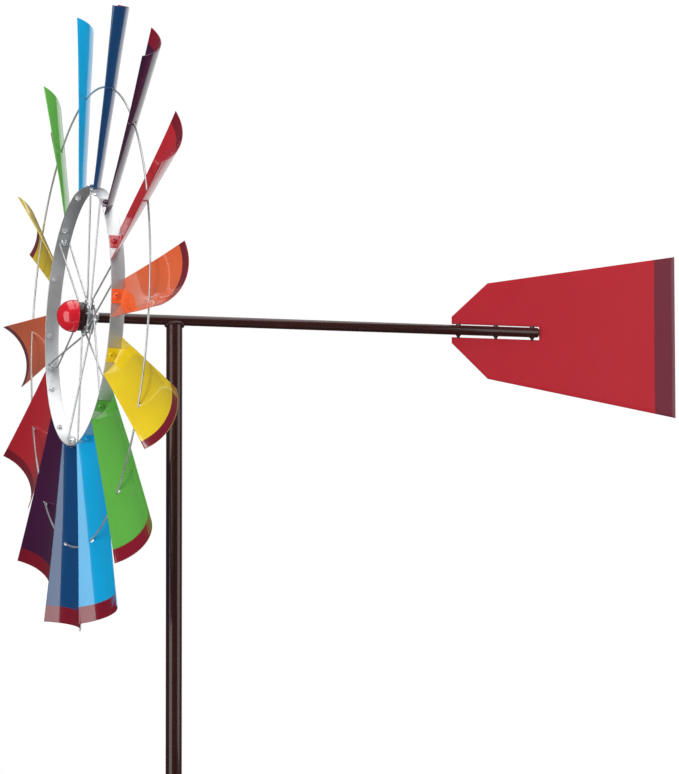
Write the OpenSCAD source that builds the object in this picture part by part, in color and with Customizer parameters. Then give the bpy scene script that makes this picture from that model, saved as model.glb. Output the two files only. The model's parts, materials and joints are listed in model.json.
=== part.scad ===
// Garden windmill: a bladed wheel and a tail vane on a boom that swivels on a ground pole.
// +Z is up, the wheel faces -Y, the vane points along +Y.
// The origin is on the pole's axis at the ground line, under the step plate.
// Angles around the wheel run clockwise from the top, seen from its front.

/* [Overall] */
// Height of the boom's axis above the ground
boom_height = 1450; // [1250:5:1750]
// Length of the head's mast, from its lower bush up to the boom's axis
mast_length = 470; // [380:5:560]
// Nose-up tilt of the wheel's axle, which keeps the lower blades off the pole
rotor_tilt = 1.9; // [0:0.1:4]

/* [Boom and mast] */
// Outer diameter of the boom tube
boom_od = 10; // [8:0.1:12]
// Wall of the boom tube
boom_wall = 1; // [0.6:0.1:1.6]
// Reach of the boom in front of the mast's axis
boom_front = 78; // [70:1:100]
// Reach of the boom behind the mast's axis
boom_back = 377.5; // [330:1:450]
// Outer diameter of the mast tube
mast_od = 16; // [14:0.1:19]
// Wall of the mast tube
mast_wall = 1.2; // [0.8:0.1:1.5]

/* [Rim, spokes and tie ring] */
// Outer radius of the rim band
rim_r = 127; // [105:1:145]
// Thickness of the rim band
rim_wall = 0.9; // [0.6:0.1:1.5]
// Width of the rim band
rim_width = 14; // [12:0.5:18]
// Diameter of the spoke wire
spoke_d = 1.8; // [1.4:0.1:2.4]
// Angle by which each spoke's flange hole leads or trails its rim end
spoke_wrap = 70; // [60:1:80]
// Angle of the first pair of spokes
spoke_phase = 13; // [13:0.5:14]
// Radius of the tie ring's centre line
tie_ring_r = 225.5; // [190:0.5:270]
// Diameter of the tie ring's wire
tie_wire_d = 2; // [1.4:0.1:3]

/* [Blades] */
// Radius at which the blades are cut off square
blade_tip_r = 308; // [285:1:340]
// Chord of a blade where it meets the rim
root_chord = 40.6; // [34:0.2:46]
// Chord of a blade at its tip
tip_chord = 65; // [52:0.5:72]
// Pitch of the blades, clockwise edge forward
blade_pitch = 19; // [14:0.5:24]
// Radius of the blades' camber
camber_r = 45; // [42:0.5:60]
// Backward lean of the blades from root to tip
blade_lean = 4; // [0:0.5:6]
// Thickness of the blade sheet
blade_sheet = 0.8; // [0.6:0.1:1.2]
// Distance clockwise from the blade's radial line to its tie-ring hole
tie_hole_shift = 9.6; // [4:0.2:14]

/* [Hub] */
// Diameter of the axle stud
axle_d = 6; // [5:0.1:7]
// Outer diameter of the hub barrel
barrel_od = 16; // [15:0.5:19]
// Distance between the hub flanges' middles
flange_gap = 7; // [6:0.5:9]
// Radius of the hub flanges
flange_r = 16.8; // [16:0.1:20]
// Outer radius of the nose cap
cap_r = 15.8; // [15.5:0.1:20]
// Length of the nose cap
cap_length = 19.3; // [18:0.1:26]

/* [Tail vane] */
// Distance of the vane's leading edge behind the mast's axis
vane_start = 287.5; // [270:0.5:300]
// Length of the vane
vane_length = 238; // [200:1:280]
// Height of the vane at its trailing edge
vane_height = 164; // [130:1:200]
// Thickness of the vane sheet
vane_sheet = 1.2; // [0.8:0.1:2]

/* [Swivel, pole and stake] */
// Diameter of the spindle that the head turns on
spindle_d = 8; // [6:0.1:9]
// Length of the spindle that stands above the pole
spindle_reach = 425; // [330:1:430]
// Outer diameter of the pole tubes
pole_od = 16; // [14:0.1:19]
// Wall of the pole tubes
pole_wall = 1.2; // [0.8:0.1:1.5]
// Height of the joint between the two pole tubes
pole_joint = 500; // [380:5:620]
// Length of the coupler inside that joint
coupler_length = 120; // [80:1:160]
// Height of the stake's socket
socket_height = 110; // [90:1:150]
// Length of the step plate
plate_length = 140; // [120:1:170]
// Width of the step plate
plate_width = 60; // [50:1:80]
// Thickness of the step plate
plate_thick = 4; // [3:0.5:6]
// Diameter of the prongs
prong_d = 8; // [6:0.5:10]
// Length of a prong's straight part
prong_length = 140; // [110:1:180]

/* [Hidden] */
$fn = 64;

// Clearances
running = 0.05;      // a shaft in its bush, on the radius
end_play = 0.3;      // between faces of pieces that turn past each other
wire_play = 0.2;     // a wire in its hole, on the radius
screw_play = 0.1;    // a screw in its hole, on the radius
eps = 0.01;
far = 400;

// Wheel layout: stations are distances forward of the boom's front end, along the axle
blade_count = 14;
blade_step = 360 / blade_count;
first_blade = blade_step / 2;
rim_z = 13.5;                 // middle of the rim band
rim_in = rim_r - rim_wall;
shoulder_t = 2;
washer_t = 1;
bush_flange_t = 1;
rear_bush_z = shoulder_t + washer_t + end_play;
barrel_z = rear_bush_z + bush_flange_t;
flange_t = 1.5;
rear_flange_z = barrel_z + 1.1;
front_flange_z = rear_flange_z + flange_gap;
barrel_end = front_flange_z + flange_t + 1.1;
front_washer_z = barrel_end + bush_flange_t + end_play;
nut_z = front_washer_z + washer_t;
nut_t = 5.5;
axle_end = nut_z + nut_t + 3.5;
axle_r = axle_d / 2;
bush_r = axle_r + running;
barrel_r = barrel_od / 2;
barrel_bore_r = bush_r + 1.95;
bush_flange_r = barrel_bore_r + 1.5;
washer_r = axle_r + 3;
nut_flats = 1.66 * axle_d;

// Nose cap and its collar
collar_z = front_flange_z + flange_t;
collar_neck_t = 2.2;
collar_neck_r = 10.5;
collar_t = 5.5;
collar_r = cap_r - 1.8;
collar_bore_r = nut_flats / 2 / cos(30) + 1.6;
cap_z = collar_z + collar_neck_t + collar_t;
cap_wall = 1.5;
cap_in_r = cap_r - cap_wall;
cap_lip = 3;

// Spokes
spoke_pairs = 6;
spoke_r = spoke_d / 2;
spoke_hole_r = flange_r - 3.3;
stud_r = 1.5;
eye_r = 3.2;
eye_t = spoke_d + 0.2;        // the eye is a little thicker than its wire
hook = 1.5;                   // how far a spoke's end stands out of its flange
bend_swell = 0.06;            // extra radius of the wire at its bends
end_r = spoke_r - 0.1;        // the wire is drawn a little thinner past its bends
spoke_edge = rim_width / 2 - spoke_r - 0.9;
seat_drop = 0.05;             // a flat face sits this far inside the round band

// Small fasteners of the wheel
bolt_r = 1.5;
bolt_head_r = 2.9;
bolt_head_t = 1.8;
hex_r = 5.5 / 2 / cos(30);
hex_t = 2.2;

// Blades: the sheet lies on a cylinder whose axis leans with the blade
foot_t = 0.9;                 // thickness of the foot on the rim
foot_shift = -5.5;            // middle of the foot, anticlockwise of the blade's radial line
foot_width = 14;
foot_z = rim_z + 2;           // station of the foot's bolt
root_setback = 4;             // middle of the root behind the middle of the rim
midline_shift = -2.75;        // middle of the blade beside its radial line
camber_x = midline_shift - camber_r * sin(blade_pitch);
camber_z = rim_z - root_setback + camber_r * cos(blade_pitch);
blade_length = (blade_tip_r - rim_r) / cos(blade_lean);
root_run = 10;                // length of sheet drawn inside the rim, then cut off
taper = (tip_chord - root_chord) / blade_length;
foot_angle = asin(foot_shift / rim_r);

// Tie ring: its plane is where it meets the sheet at the chosen hole
tie_wire_r = tie_wire_d / 2;
tie_hole_r = tie_wire_r + 0.6;
tie_z = camber_z - (tie_ring_r - rim_r) * tan(blade_lean)
    - sqrt(pow(camber_r, 2) - pow(tie_hole_shift - camber_x, 2));

// Head
boom_r = boom_od / 2;
boom_in = boom_r - boom_wall;
boom_set = 0.3;               // gap behind the tilted axle shoulder
spigot_length = 18;
mast_r = mast_od / 2;
mast_in = mast_r - mast_wall;
mast_bottom = boom_height - mast_length;
mast_top = boom_height - boom_r + 2;
weld_size = 3.5;
plug_t = 2;

// Swivel
spindle_r = spindle_d / 2;
spindle_top = mast_bottom + spindle_reach;
swivel_flange_t = 2;
swivel_bush_length = 22;
pole_top = mast_bottom - swivel_flange_t - end_play;
ball_r = 4;
ball_z = spindle_top + end_play + ball_r;
thrust_plug_t = 12;
ball_seat = 2.5;              // how deep the ball sits in its plug

// Pole and stake
pole_r = pole_od / 2;
pole_in = pole_r - pole_wall;
socket_depth = 70;            // length of the spindle's socket inside the pole
socket_head_t = 3;
stake_wall = 2;
stake_r = pole_r + screw_play + stake_wall;
joint_screw_r = 2;
joint_screw_pitch = 60;
clamp_r = 3;
clamp_z = socket_height - 25;
prong_tip = 22;
spigot_r = prong_d / 2 - 1;   // a prong's necked top, riveted through the plate
plate_sink = 1.2;             // countersink of the plate's underside, clear of the prong's shoulder
prong_x = plate_length / 2 - 14;
prong_y = plate_width / 2 - 10;
plate_corner = 8;

// Tail vane: half outline above the boom
vane_end = vane_start + vane_length;
vane_nose = 13.2;
vane_shoulder = 48.2;
vane_shoulder_run = 38;
slot_above = 0.8;             // gap between the boom and the slot's upper edge
slot_below = 2.4;             // gap between the boom and the slot's lower edge
slot_end = boom_back + 2.5;
pin_r = 1.6;
pin_bite = 0.8;               // a pin's length inside the vane's edge
pin_places = [7, 46.5, 85];   // behind the leading edge

// ---- Frames and small helpers ----

// Axle frame: +Z forward along the axle, +Y up, +X as in the model
module on_axle() {
    translate([0, -boom_front, boom_height])
        rotate([90 - rotor_tilt, 0, 0])
            children();
}

// Clockwise turn about the axle
module clock(angle) {
    rotate([0, 0, -angle]) children();
}

// A cylinder that stands radially outward at one place on the wheel
module radial(angle, r0, r1, z, r, sides = $fn) {
    clock(angle)
        translate([0, r0, z])
            rotate([-90, 0, 0])
                cylinder(h = r1 - r0, r = r, $fn = sides);
}

module ring(h, r, bore) {
    difference() {
        cylinder(h = h, r = r);
        translate([0, 0, -1]) cylinder(h = h + 2, r = bore);
    }
}

// A straight wire from a to b
module wire(a, b, r) {
    d = b - a;
    translate(a)
        rotate([0, acos(d[2] / norm(d)), atan2(d[1], d[0])])
            cylinder(h = norm(d), r = r);
}

function polar(angle, r, z) = [r * sin(angle), r * cos(angle), z];
function blade_angle(i) = first_blade + i * blade_step;
function spoke_angle(i) = spoke_phase + i * 360 / spoke_pairs;

// ---- Blades ----

// Frame of one blade's camber cylinder: +Z out along the blade, +Y to the rear
module on_camber() {
    translate([camber_x, rim_r, camber_z])
        rotate([-90, 0, 0])
            rotate([-blade_lean, 0, 0])
                rotate([0, 0, -blade_pitch])
                    children();
}

module camber_solid(r) {
    translate([0, 0, -2 * root_run]) cylinder(h = blade_length + 4 * root_run, r = r);
}

// The tapered outline, drawn square to the chord
module blade_outline() {
    low = root_chord / 2 - taper * root_run / 2;
    high = tip_chord / 2;
    rotate([90, 0, 0])
        translate([0, 0, -camber_r - 5])
            linear_extrude(camber_r)
                polygon([[-low, -root_run], [low, -root_run], [high, blade_length], [-high, blade_length]]);
}

module blade_skin() {
    difference() {
        on_camber()
            intersection() {
                difference() {
                    camber_solid(camber_r + blade_sheet);
                    translate([0, 0, -1]) camber_solid(camber_r);
                }
                blade_outline();
            }
        translate([0, 0, -far / 2]) cylinder(h = far, r = rim_r);
    }
}

// The foot folded onto the rim, inside the curve of the sheet
module blade_foot() {
    intersection() {
        translate([0, 0, rim_z - rim_width / 2]) ring(rim_width - 0.5, rim_r + foot_t, rim_r);
        translate([foot_shift - foot_width / 2, 0, 0]) cube([foot_width, far, far]);
        on_camber() camber_solid(camber_r + blade_sheet / 2);
    }
}

module blade(i) {
    on_axle()
        clock(blade_angle(i))
            difference() {
                union() {
                    blade_skin();
                    blade_foot();
                }
                radial(foot_angle, rim_r - 5, rim_r + 10, foot_z, bolt_r + screw_play);
                clock(asin(tie_hole_shift / tie_ring_r))
                    translate([-15, tie_ring_r, tie_z])
                        rotate([0, 90, 0])
                            cylinder(h = 30, r = tie_hole_r);
            }
}

module blade_indigo_1() color("#16386a") blade(0);
module blade_violet_1() color("#4a1746") blade(1);
module blade_red_1() color("#c41f30") blade(2);
module blade_orange_1() color("#ee6326") blade(3);
module blade_yellow_1() color("#e7c912") blade(4);
module blade_green_1() color("#52a33a") blade(5);
module blade_blue_1() color("#109fd8") blade(6);
module blade_indigo_2() color("#16386a") blade(7);
module blade_violet_2() color("#4a1746") blade(8);
module blade_red_2() color("#c41f30") blade(9);
module blade_orange_2() color("#ee6326") blade(10);
module blade_yellow_2() color("#e7c912") blade(11);
module blade_green_2() color("#52a33a") blade(12);
module blade_blue_2() color("#109fd8") blade(13);

module blade_bolts() {
    color("#b9bcbf")
        on_axle()
            for (i = [0 : blade_count - 1]) {
                at = blade_angle(i) + foot_angle;
                radial(at, rim_in - hex_t - 1.2, rim_r + foot_t + eps, foot_z, bolt_r);
                radial(at, rim_r + foot_t, rim_r + foot_t + bolt_head_t, foot_z, bolt_head_r);
            }
}

module blade_nuts() {
    color("#b9bcbf")
        on_axle()
            for (i = [0 : blade_count - 1]) {
                at = blade_angle(i) + foot_angle;
                top = rim_in - seat_drop;
                difference() {
                    radial(at, top - hex_t, top, foot_z, hex_r, 6);
                    radial(at, top - hex_t - 1, top + 1, foot_z, bolt_r);
                }
            }
}

// ---- Rim, tie ring and spokes ----

module rim_band() {
    color("#c2c5c7")
        on_axle()
            difference() {
                translate([0, 0, rim_z - rim_width / 2]) ring(rim_width, rim_r, rim_in);
                for (i = [0 : blade_count - 1])
                    radial(blade_angle(i) + foot_angle, rim_in - 3, rim_r + 3, foot_z, bolt_r + screw_play);
            }
}

module tie_ring() {
    color("#c2c5c7")
        on_axle()
            translate([0, 0, tie_z])
                rotate_extrude()
                    translate([tie_ring_r, 0])
                        circle(r = tie_wire_r);
}

// One spoke: hooked through a flange at one end, an eye on a rim stud at the other
module spoke(angle, side, level) {
    r = rim_in - seat_drop - (level + 0.5) * eye_t;
    flange_face = side > 0 ? front_flange_z : rear_flange_z + flange_t;
    hub = polar(angle + side * spoke_wrap, spoke_hole_r, flange_face - side * spoke_r);
    heel = polar(angle, r, rim_z - side * spoke_edge);
    toe = polar(angle, r, rim_z - side * (eye_r - 0.4));
    tip = hub + [0, 0, side * (spoke_r + flange_t + hook)];
    wire(hub, heel, spoke_r);
    wire(heel, toe, end_r);
    wire(hub, tip, end_r);
    translate(hub) sphere(r = spoke_r + bend_swell);
    translate(heel) sphere(r = spoke_r + bend_swell);
    difference() {
        radial(angle, r - eye_t / 2, r + eye_t / 2, rim_z, eye_r);
        radial(angle, r - eye_t / 2 - 1, r + eye_t / 2 + 1, rim_z, stud_r + screw_play);
    }
}

module spokes_front() {
    color("#b4b7b9")
        on_axle()
            for (i = [0 : spoke_pairs - 1]) spoke(spoke_angle(i), 1, 0);
}

module spokes_rear() {
    color("#b4b7b9")
        on_axle()
            for (i = [0 : spoke_pairs - 1]) spoke(spoke_angle(i), -1, 1);
}

module spoke_studs() {
    color("#b9bcbf")
        on_axle()
            for (i = [0 : spoke_pairs - 1])
                radial(spoke_angle(i), rim_in - 2 * eye_t - hex_t - 1, rim_in - eps, rim_z, stud_r);
}

module spoke_nuts() {
    color("#b9bcbf")
        on_axle()
            for (i = [0 : spoke_pairs - 1]) {
                top = rim_in - seat_drop - 2 * eye_t;
                difference() {
                    radial(spoke_angle(i), top - hex_t, top, rim_z, hex_r, 6);
                    radial(spoke_angle(i), top - hex_t - 1, top + 1, rim_z, stud_r);
                }
            }
}

// ---- Hub ----

module hub_barrel() {
    color("#aeb1b3")
        on_axle()
            translate([0, 0, barrel_z]) ring(barrel_end - barrel_z, barrel_r, barrel_bore_r);
}

// A petalled flange, one petal round each spoke hole
module flange(z, side) {
    on_axle()
        difference() {
            translate([0, 0, z]) ring(flange_t, flange_r, barrel_r);
            for (i = [0 : spoke_pairs - 1]) {
                at = spoke_angle(i) + side * spoke_wrap;
                translate(polar(at, spoke_hole_r, z - 1))
                    cylinder(h = flange_t + 2, r = spoke_r + wire_play);
                translate(polar(at + 180 / spoke_pairs, flange_r + 2.2, z - 1))
                    cylinder(h = flange_t + 2, r = 5);
            }
        }
}

module front_flange() color("#aeb1b3") flange(front_flange_z, 1);
module rear_flange() color("#aeb1b3") flange(rear_flange_z, -1);

// A flanged nylon bush with its sleeve along +Z
module axle_bush() {
    ring(bush_flange_t, bush_flange_r, bush_r);
    translate([0, 0, bush_flange_t - eps]) ring(4.5 + eps, barrel_bore_r, bush_r);
}

module front_bush() {
    color("#e8e6df")
        on_axle()
            translate([0, 0, barrel_end + bush_flange_t]) rotate([180, 0, 0]) axle_bush();
}

module rear_bush() {
    color("#e8e6df")
        on_axle()
            translate([0, 0, rear_bush_z]) axle_bush();
}

module cap_collar() {
    color("#2b1513")
        on_axle()
            translate([0, 0, collar_z]) {
                ring(collar_neck_t + eps, collar_neck_r, barrel_r);
                translate([0, 0, collar_neck_t]) ring(collar_t, collar_r, collar_bore_r);
                translate([0, 0, collar_neck_t + collar_t - eps])
                    ring(cap_lip, cap_in_r, cap_in_r - 1.6);
            }
}

module cap_solid(r, h) {
    cylinder(h = h - r, r = r);
    translate([0, 0, h - r])
        difference() {
            sphere(r = r);
            translate([-r, -r, -2 * r]) cube(2 * r);
        }
}

module nose_cap() {
    color("#d81e2e")
        on_axle()
            translate([0, 0, cap_z])
                difference() {
                    cap_solid(cap_r, cap_length);
                    translate([0, 0, -eps]) cap_solid(cap_in_r, cap_length - cap_wall + eps);
                }
}

// ---- Axle, fixed to the boom ----

module axle_stud() {
    color("#9a9da0") {
        on_axle() {
            cylinder(h = shoulder_t, r = boom_r);
            cylinder(h = axle_end, r = axle_r);
        }
        translate([0, -boom_front - eps, boom_height])
            rotate([-90, 0, 0])
                cylinder(h = spigot_length, r = boom_in);
    }
}

module washer(z) {
    on_axle() translate([0, 0, z]) ring(washer_t, washer_r, bush_r);
}

module front_washer() color("#b9bcbf") washer(front_washer_z);
module rear_washer() color("#b9bcbf") washer(shoulder_t);

module lock_nut() {
    color("#b9bcbf")
        on_axle()
            translate([0, 0, nut_z])
                difference() {
                    cylinder(h = nut_t, r = nut_flats / 2 / cos(30), $fn = 6);
                    translate([0, 0, -1]) cylinder(h = nut_t + 2, r = axle_r);
                }
}

// ---- Boom and mast ----

module along_boom(y) {
    translate([0, y, boom_height]) rotate([-90, 0, 0]) children();
}

module boom_solid(r) {
    along_boom(-boom_front - 5) cylinder(h = boom_front + boom_back + 10, r = r);
}

module boom() {
    color("#2f1513")
        along_boom(boom_set - boom_front) ring(boom_front + boom_back - boom_set, boom_r, boom_in);
}

module boom_plug() {
    color("#1d1716") {
        along_boom(boom_back) cylinder(h = plug_t, r1 = boom_r, r2 = boom_r - 1);
        along_boom(boom_back - 12) cylinder(h = 12 + eps, r = boom_in);
    }
}

module mast() {
    color("#2f1513")
        difference() {
            translate([0, 0, mast_bottom]) ring(mast_top - mast_bottom, mast_r, mast_in);
            boom_solid(boom_r);
        }
}

// Weld fillets in front of and behind the mast, under the boom
module boom_weld() {
    color("#2f1513")
        difference() {
            intersection() {
                translate([0, 0, boom_height - boom_r - weld_size])
                    cylinder(h = weld_size + 3, r1 = mast_r, r2 = mast_r + weld_size + 3);
                translate([-boom_r * 0.8, -far / 2, 0]) cube([boom_r * 1.6, far, boom_height]);
            }
            boom_solid(boom_r);
            translate([0, 0, mast_bottom]) cylinder(h = mast_length + far, r = mast_r);
        }
}

// ---- Swivel ----

module upper_bush() {
    color("#e8e6df")
        translate([0, 0, spindle_top - 5 - swivel_bush_length])
            ring(swivel_bush_length, mast_in, spindle_r + running);
}

module lower_bush() {
    color("#2a2724")
        translate([0, 0, mast_bottom]) {
            translate([0, 0, -swivel_flange_t]) ring(swivel_flange_t, mast_r, spindle_r + running);
            translate([0, 0, -eps]) ring(swivel_bush_length, mast_in, spindle_r + running);
        }
}

module thrust_plug() {
    color("#8d9093")
        difference() {
            translate([0, 0, ball_z + ball_r - ball_seat]) cylinder(h = thrust_plug_t, r = mast_in);
            translate([0, 0, ball_z]) sphere(r = ball_r);
        }
}

module thrust_ball() {
    color("#d5d7d9")
        translate([0, 0, ball_z]) sphere(r = ball_r);
}

module spindle() {
    color("#9a9da0")
        translate([0, 0, pole_top - socket_depth + 10])
            cylinder(h = spindle_top - pole_top + socket_depth - 10, r = spindle_r);
}

// A plug in the pole's top that holds the spindle
module spindle_socket() {
    color("#2a2724")
        difference() {
            union() {
                translate([0, 0, pole_top - socket_head_t]) cylinder(h = socket_head_t, r = pole_r);
                translate([0, 0, pole_top - socket_depth])
                    cylinder(h = socket_depth - eps, r = pole_in);
            }
            translate([0, 0, pole_top - socket_depth + 10])
                cylinder(h = socket_depth, r = spindle_r);
        }
}

// ---- Pole ----

module joint_holes(r, reach) {
    for (z = [-joint_screw_pitch / 2, joint_screw_pitch / 2])
        translate([0, 0, pole_joint + z])
            rotate([0, 90, 0])
                cylinder(h = reach, r = r);
}

module pole_upper() {
    color("#2f1513")
        difference() {
            translate([0, 0, pole_joint])
                ring(pole_top - socket_head_t - pole_joint, pole_r, pole_in);
            joint_holes(joint_screw_r + screw_play, pole_od);
        }
}

module pole_lower() {
    color("#2f1513")
        difference() {
            translate([0, 0, plate_thick]) ring(pole_joint - plate_thick, pole_r, pole_in);
            joint_holes(joint_screw_r + screw_play, pole_od);
        }
}

module coupler() {
    color("#8d9093")
        difference() {
            translate([0, 0, pole_joint - coupler_length / 2])
                ring(coupler_length, pole_in, pole_in - 1.4);
            joint_holes(joint_screw_r, pole_od);
        }
}

module joint_screws() {
    color("#b9bcbf") {
        joint_holes(joint_screw_r, pole_r + eps);
        translate([pole_r, 0, 0]) joint_holes(joint_screw_r + 1.8, 1.8);
    }
}

// ---- Ground stake ----

module stake_socket() {
    color("#2f1513")
        difference() {
            translate([0, 0, plate_thick])
                ring(socket_height - plate_thick, stake_r, pole_r + screw_play);
            translate([0, 0, clamp_z]) rotate([0, 90, 0]) cylinder(h = 2 * stake_r, r = clamp_r);
        }
}

module clamp_screw() {
    color("#2a2724")
        translate([pole_r, 0, clamp_z])
            rotate([0, 90, 0]) {
                cylinder(h = 22, r = clamp_r);
                translate([0, 0, 12]) cylinder(h = 10, r = 9);
            }
}

module step_plate() {
    color("#2f1513")
        difference() {
            union() {
                translate([-plate_length / 2, plate_corner - plate_width / 2, 0])
                    cube([plate_length, plate_width - 2 * plate_corner, plate_thick]);
                translate([plate_corner - plate_length / 2, -plate_width / 2, 0])
                    cube([plate_length - 2 * plate_corner, plate_width, plate_thick]);
                for (x = [-1, 1], y = [-1, 1])
                    translate([
                        x * (plate_length / 2 - plate_corner),
                        y * (plate_width / 2 - plate_corner),
                        0
                    ])
                        cylinder(h = plate_thick, r = plate_corner);
            }
            for (x = [-1, 1], y = [-1, 1])
                translate([x * prong_x, y * prong_y, 0]) {
                    translate([0, 0, -1]) cylinder(h = plate_thick + 2, r = spigot_r);
                    translate([0, 0, -eps])
                        cylinder(h = plate_sink + eps, r1 = spigot_r + plate_sink + eps, r2 = spigot_r);
                }
        }
}

// Four prongs, each riveted over the plate's top
module prongs() {
    color("#2f1513")
        for (x = [-1, 1], y = [-1, 1])
            translate([x * prong_x, y * prong_y, 0]) {
                translate([0, 0, -prong_length]) cylinder(h = prong_length, r = prong_d / 2);
                translate([0, 0, -eps]) cylinder(h = plate_thick + 2 * eps, r = spigot_r);
                translate([0, 0, plate_thick])
                    cylinder(h = 2, r1 = prong_d / 2 + 2, r2 = prong_d / 2 + 1);
                translate([0, 0, -prong_length - prong_tip])
                    cylinder(h = prong_tip + eps, r1 = 0.6, r2 = prong_d / 2);
            }
}

// ---- Tail vane ----

// The vane's corners above the boom's axis, from its leading to its trailing edge
vane_corners = [
    [vane_start, vane_nose],
    [vane_start + vane_shoulder_run, vane_shoulder],
    [vane_end, vane_height / 2]
];

module vane_outline() {
    difference() {
        polygon(concat(vane_corners, [for (i = [2 : -1 : 0]) [vane_corners[i][0], -vane_corners[i][1]]]));
        translate([vane_start - 1, -boom_r - slot_below])
            square([slot_end - vane_start + 1, 2 * boom_r + slot_below + slot_above]);
    }
}

module pin_set(r) {
    for (y = pin_places, side = [-1, 1])
        translate([0, vane_start + y, boom_height + side * (boom_r - 1)])
            rotate([side > 0 ? 0 : 180, 0, 0])
                cylinder(h = 1 + (side > 0 ? slot_above : slot_below) + pin_bite, r = r);
}

module tail_vane() {
    color("#bb2733")
        difference() {
            translate([-vane_sheet / 2, 0, boom_height])
                rotate([90, 0, 90])
                    linear_extrude(vane_sheet)
                        vane_outline();
            pin_set(pin_r);
        }
}

// Short pins welded to the boom, with the vane's edges let into them
module vane_pins() {
    color("#2f1513")
        difference() {
            pin_set(pin_r);
            boom_solid(boom_r);
        }
}

blade_indigo_1();
blade_violet_1();
blade_red_1();
blade_orange_1();
blade_yellow_1();
blade_green_1();
blade_blue_1();
blade_indigo_2();
blade_violet_2();
blade_red_2();
blade_orange_2();
blade_yellow_2();
blade_green_2();
blade_blue_2();
rim_band();
tie_ring();
spokes_front();
spokes_rear();
spoke_studs();
spoke_nuts();
blade_bolts();
blade_nuts();
hub_barrel();
front_flange();
rear_flange();
front_bush();
rear_bush();
cap_collar();
nose_cap();
axle_stud();
front_washer();
rear_washer();
lock_nut();
boom();
boom_weld();
boom_plug();
mast();
upper_bush();
lower_bush();
thrust_plug();
thrust_ball();
tail_vane();
vane_pins();
spindle();
spindle_socket();
pole_upper();
pole_lower();
coupler();
joint_screws();
stake_socket();
step_plate();
prongs();
clamp_screw();
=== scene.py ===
"""Garden windmill: finished surfaces, materials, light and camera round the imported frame.

Angles round the wheel run clockwise from the top, seen from its front. The axle frame has its origin at the
boom's front end, its third axis forward along the axle and its second axis up.
"""
import json
import math

import bmesh
import bpy
import numpy as np
from bpy.props import FloatProperty, FloatVectorProperty, PointerProperty
from bpy.types import Operator, Panel, PropertyGroup
from mathutils import Matrix, Vector


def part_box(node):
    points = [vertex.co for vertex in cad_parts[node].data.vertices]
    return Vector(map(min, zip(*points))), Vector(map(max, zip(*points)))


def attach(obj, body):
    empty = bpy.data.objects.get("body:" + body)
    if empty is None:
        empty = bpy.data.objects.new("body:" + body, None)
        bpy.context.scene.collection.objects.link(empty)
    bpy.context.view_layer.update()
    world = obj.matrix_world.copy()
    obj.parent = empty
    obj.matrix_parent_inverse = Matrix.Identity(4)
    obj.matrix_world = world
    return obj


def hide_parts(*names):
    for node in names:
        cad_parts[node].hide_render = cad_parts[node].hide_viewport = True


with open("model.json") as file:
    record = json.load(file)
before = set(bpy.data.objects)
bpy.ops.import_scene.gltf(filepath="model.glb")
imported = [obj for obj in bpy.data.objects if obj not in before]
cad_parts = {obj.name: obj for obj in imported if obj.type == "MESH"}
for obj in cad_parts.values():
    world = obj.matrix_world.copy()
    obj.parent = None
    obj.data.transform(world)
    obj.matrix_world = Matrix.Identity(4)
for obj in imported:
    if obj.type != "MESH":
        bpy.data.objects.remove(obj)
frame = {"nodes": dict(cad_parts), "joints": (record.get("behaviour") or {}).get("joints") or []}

bl_info = {
    "name": "Garden Windmill",
    "version": (1, 0, 0),
    "blender": (4, 5, 0),
    "location": "View3D > Sidebar > Windmill",
    "description": "Makes the finished pieces of a garden windmill round its frame",
    "category": "Object",
}

TAU = 2 * math.pi
JOINTS = {joint["name"]: joint for joint in frame["joints"]}
AXLE_POINT = np.array(JOINTS["wheel_spin"]["pos_m"], float)
FORWARD = np.array(JOINTS["wheel_spin"]["axis"], float)
SIDE = np.array([1.0, 0.0, 0.0])
UP = np.cross(FORWARD, SIDE)
BOOM_HEIGHT = AXLE_POINT[2]
BLADE_PAINTS = ("indigo", "violet", "red", "orange", "yellow", "green", "blue")
BLADE_COUNT = 2 * len(BLADE_PAINTS)
SPOKE_PAIRS = 6


def size_of(node):
    """The three side lengths of a node's box."""
    low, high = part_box(node)
    return np.array(high) - np.array(low)


def length(name, value, words, lowest=0.0):
    """A length property in metres."""
    return FloatProperty(
        name=name, description=words, default=value, unit="LENGTH", min=lowest, precision=5
    )


def angle(name, degrees, words):
    """An angle property, with its default given in degrees."""
    return FloatProperty(name=name, description=words, default=math.radians(degrees), subtype="ANGLE")


def colour(name, value, words):
    """A linear colour property."""
    return FloatVectorProperty(
        name=name, description=words, default=value, subtype="COLOR", size=3, min=0, max=1
    )


# ---------------------------------------------------------------------------------------------
# Sizes and colours that a user would change


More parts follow.
